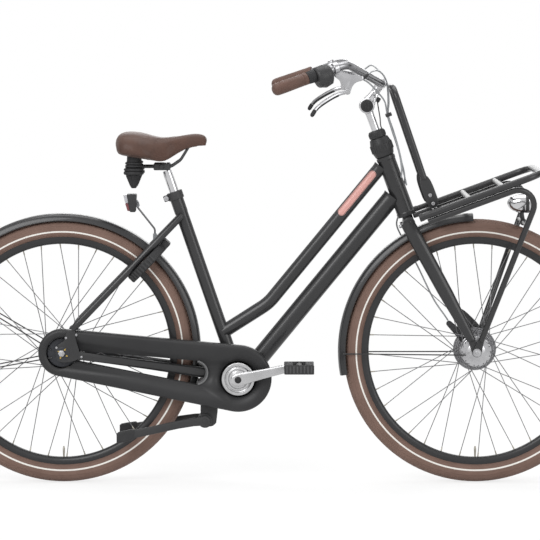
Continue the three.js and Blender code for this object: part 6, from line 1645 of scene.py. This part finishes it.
for hand in (1, -1):
    low, high = sorted((hand * 102, hand * 108))
    outline = [(59.5, 2.3), (92.5, 2.3), (92.5, 71), (85, 94), (67.5, 94), (59.5, 71)]
    slab(bm, softened(outline), low, high, 1.0)
moved_by(bm, steer_frame)
joined(bm, "carrier_back_loop", paint_black, "steering", "frame_paint", 35, "carrier_back")
bm = bmesh.new()
for hand in (1, -1):
    for z in (14, 38):
        screw_head(bm, mm(76, hand * 107.6, z), (0, hand, 0), 5.0, 3.2)
moved_by(bm, steer_frame)
clip_light = look("light_clip", (0.42, 0.42, 0.43), (0.34, 0.34, 0.35), (0.35, 0.5), 60.0, 800.0, 0.00003)
joined(bm, "carrier_bolts", clip_light, "steering", "hub_alloy", 35)
bm = bmesh.new()
for hand in (1, -1):
    lathe(bm, rounded([(0, 26), (9.4, 26), (10.4, 27), (10.4, 37), (9.6, 38), (0, 38)], 0.8),
          mm(0, hand * 170, -6), 28, (1, 0, 0))
moved_by(bm, steer_frame)
joined(bm, "carrier_rail_ends", housing_black, "steering", "dark_plastic", 35)

# Headlamp: a plated bullet shell with a dark band behind the clear domed lens, on a short
# stem from the cross bar of the struts.
lamp_place = steer(305, 0, -76)
bm = bmesh.new()
lathe(bm, [(0, -38), (4.4, -37.4), (9.6, -35), (15.8, -30), (21, -22.6), (24.6, -13), (26.6, -2),
           (27.2, 8), (27.2, 11), (26.0, 11.4), (0, 11.4)], lamp_place, 64, (1, 0, 0))
lathe(bm, rounded([(22.6, 20), (27.2, 20), (27.6, 21), (27.6, 29), (26.4, 31), (23.0, 31), (22.6, 20)],
                  0.8), lamp_place, 64, (1, 0, 0))
joined(bm, "headlamp_bullet", chrome, "steering", "headlamp_shell", 35, "headlamp")
bm = bmesh.new()
lathe(bm, [(0, 11), (26.4, 11), (26.8, 12), (26.8, 19.4), (26.4, 20.4), (0, 20.4)], lamp_place, 64,
      (1, 0, 0))
stem_foot = steer(292.6, 0, -126)
add_mesh(bm, rods([[(lamp_place + Vector((0, 0, -0.022)), 6.4), (stem_foot, 6)]], "stem", 24))
lathe(bm, rounded(mirrored([(6.1, -10), (9, -10), (9.6, -9)]) + [(6.1, -10)], 0.8), stem_foot, 32)
joined(bm, "headlamp_band_and_stem", housing_black, "steering", "dark_plastic", 35)
bm = bmesh.new()
lathe(bm, [(23.2, 25), (23.2, 30), (20.6, 33.4), (15, 36), (8, 37.6), (0, 38), (0, 25)], lamp_place, 56,
      (1, 0, 0))
joined(bm, "headlamp_lens", lens_clear, "steering", "headlamp_shell", 40)

# Cables: grey outer casings from lever and shifter barrels, gathered by a small clip, down
# the head tube into the frame; the front one runs on behind the left fork blade.
casing_grey = look("cable_casing", (0.30, 0.31, 0.32), (0.25, 0.26, 0.27), (0.3, 0.44), 60.0, 700.0,
                   0.00002)


def casing(name, line, radius=2.2, finish=casing_grey, slot="cable_grey"):
    """A cable along its line, left without a parent."""
    bm = bmesh.new()
    add_mesh(bm, rods([[(place, radius) for place in line]], name, 12))
    piece = joined(bm, name, finish, "steering", slot, 40)
    piece.parent = None
    return piece


front_top = [cockpit(*p) for p in ((-15.8, 225, 80.7), (-9.2, 225, 85), (4, 185, 99), (18, 120, 108),
                                   (34, 60, 95), (48, 31, 80), (56.2, 25, 55.5), (59, 13, 10),
                                   (57, 8, -24))]
front_low = [steer(*p) for p in ((42, 9, 237), (41, 12, 197), (38, 22, 150), (32, 40, 100), (12, 60, 55),
                                 (-4, 66, 22), (-33, 50, -15), (-33, 46, -50), (-27, 44, -95),
                                 (-20, 42, -136), (-8, 40, -250), (5, 37.8, -300), (8.3, 37.8, -314.2))]
rear_top = [cockpit(*p) for p in ((-15.8, -225, 80.7), (-9.2, -225, 85), (6, -180, 95), (27, -110, 97),
                                  (46, -50, 80), (56, -23, 55), (60, -14, 10), (58.5, 0, -24))]
rear_low = [steer(*p) for p in ((45, 0, 237), (43, 1, 197), (39, 1, 158), (33, 0, 118), (27.8, 0, 78))]
gear_top = [cockpit(*p) for p in ((-107.5, -213.7, 91.9), (-96, -209.5, 95.5), (-60, -186, 90),
                                  (-28, -150, 80), (0, -105, 66), (26, -50, 40), (48, -26, 12),
                                  (56, -9, -24))]
gear_low = [steer(*p) for p in ((42, -8, 237), (41, -9, 197), (36, -12, 150), (28, -18, 120),
                                (21, -20.5, 104))]
line_steps = 8
for name, top, low in (("front_brake", front_top, front_low), ("rear_brake", rear_top, rear_low),
                       ("shifter", gear_top, gear_low)):
    line = flowing(top + low, line_steps)
    if name == "front_brake":
        whole = casing(f"{name}_casing", line)
        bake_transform(whole)
        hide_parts(f"cable_{name}")
    else:
        split = len(top) * line_steps
        upper = casing(f"{name}_casing_top", line[:split + 1])
        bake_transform(upper)
        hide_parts(f"cable_{name}")
        lower = casing(f"{name}_casing_low", line[split:])
        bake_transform(lower)
knob_wire = casing("knob_wire", flowing([cockpit(29, 0, 12), cockpit(32, 0, -7), cockpit(36.4, 0, -33),
                                         steer(17.4, 0, 256), steer(17, 0, 244)], 6), 1.6, housing_black,
                   "dark_plastic")
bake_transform(knob_wire)
bm = bmesh.new()
block_in(bm, (39, -14, 271), (56, 20, 281), 1.8)
moved_by(bm, steer_frame)
clip = joined(bm, "cable_clip", housing_black, "steering", "dark_plastic", 35)
clip.parent = None
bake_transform(clip)
for hand, name in ((1, "left"), (-1, "right")):
    boot = [(cockpit(x, hand * y, z), r) for x, y, z, r in (
        (-17.5, 225, 79.8, 5.4), (-12, 225, 83.4, 5.2), (-8, 224, 85.8, 4.2), (-3, 215, 90.2, 3.0))]
    rod_piece([boot], f"{name}_cable_boot", 16, rubber_black, "cockpit", "dark_plastic", 40)
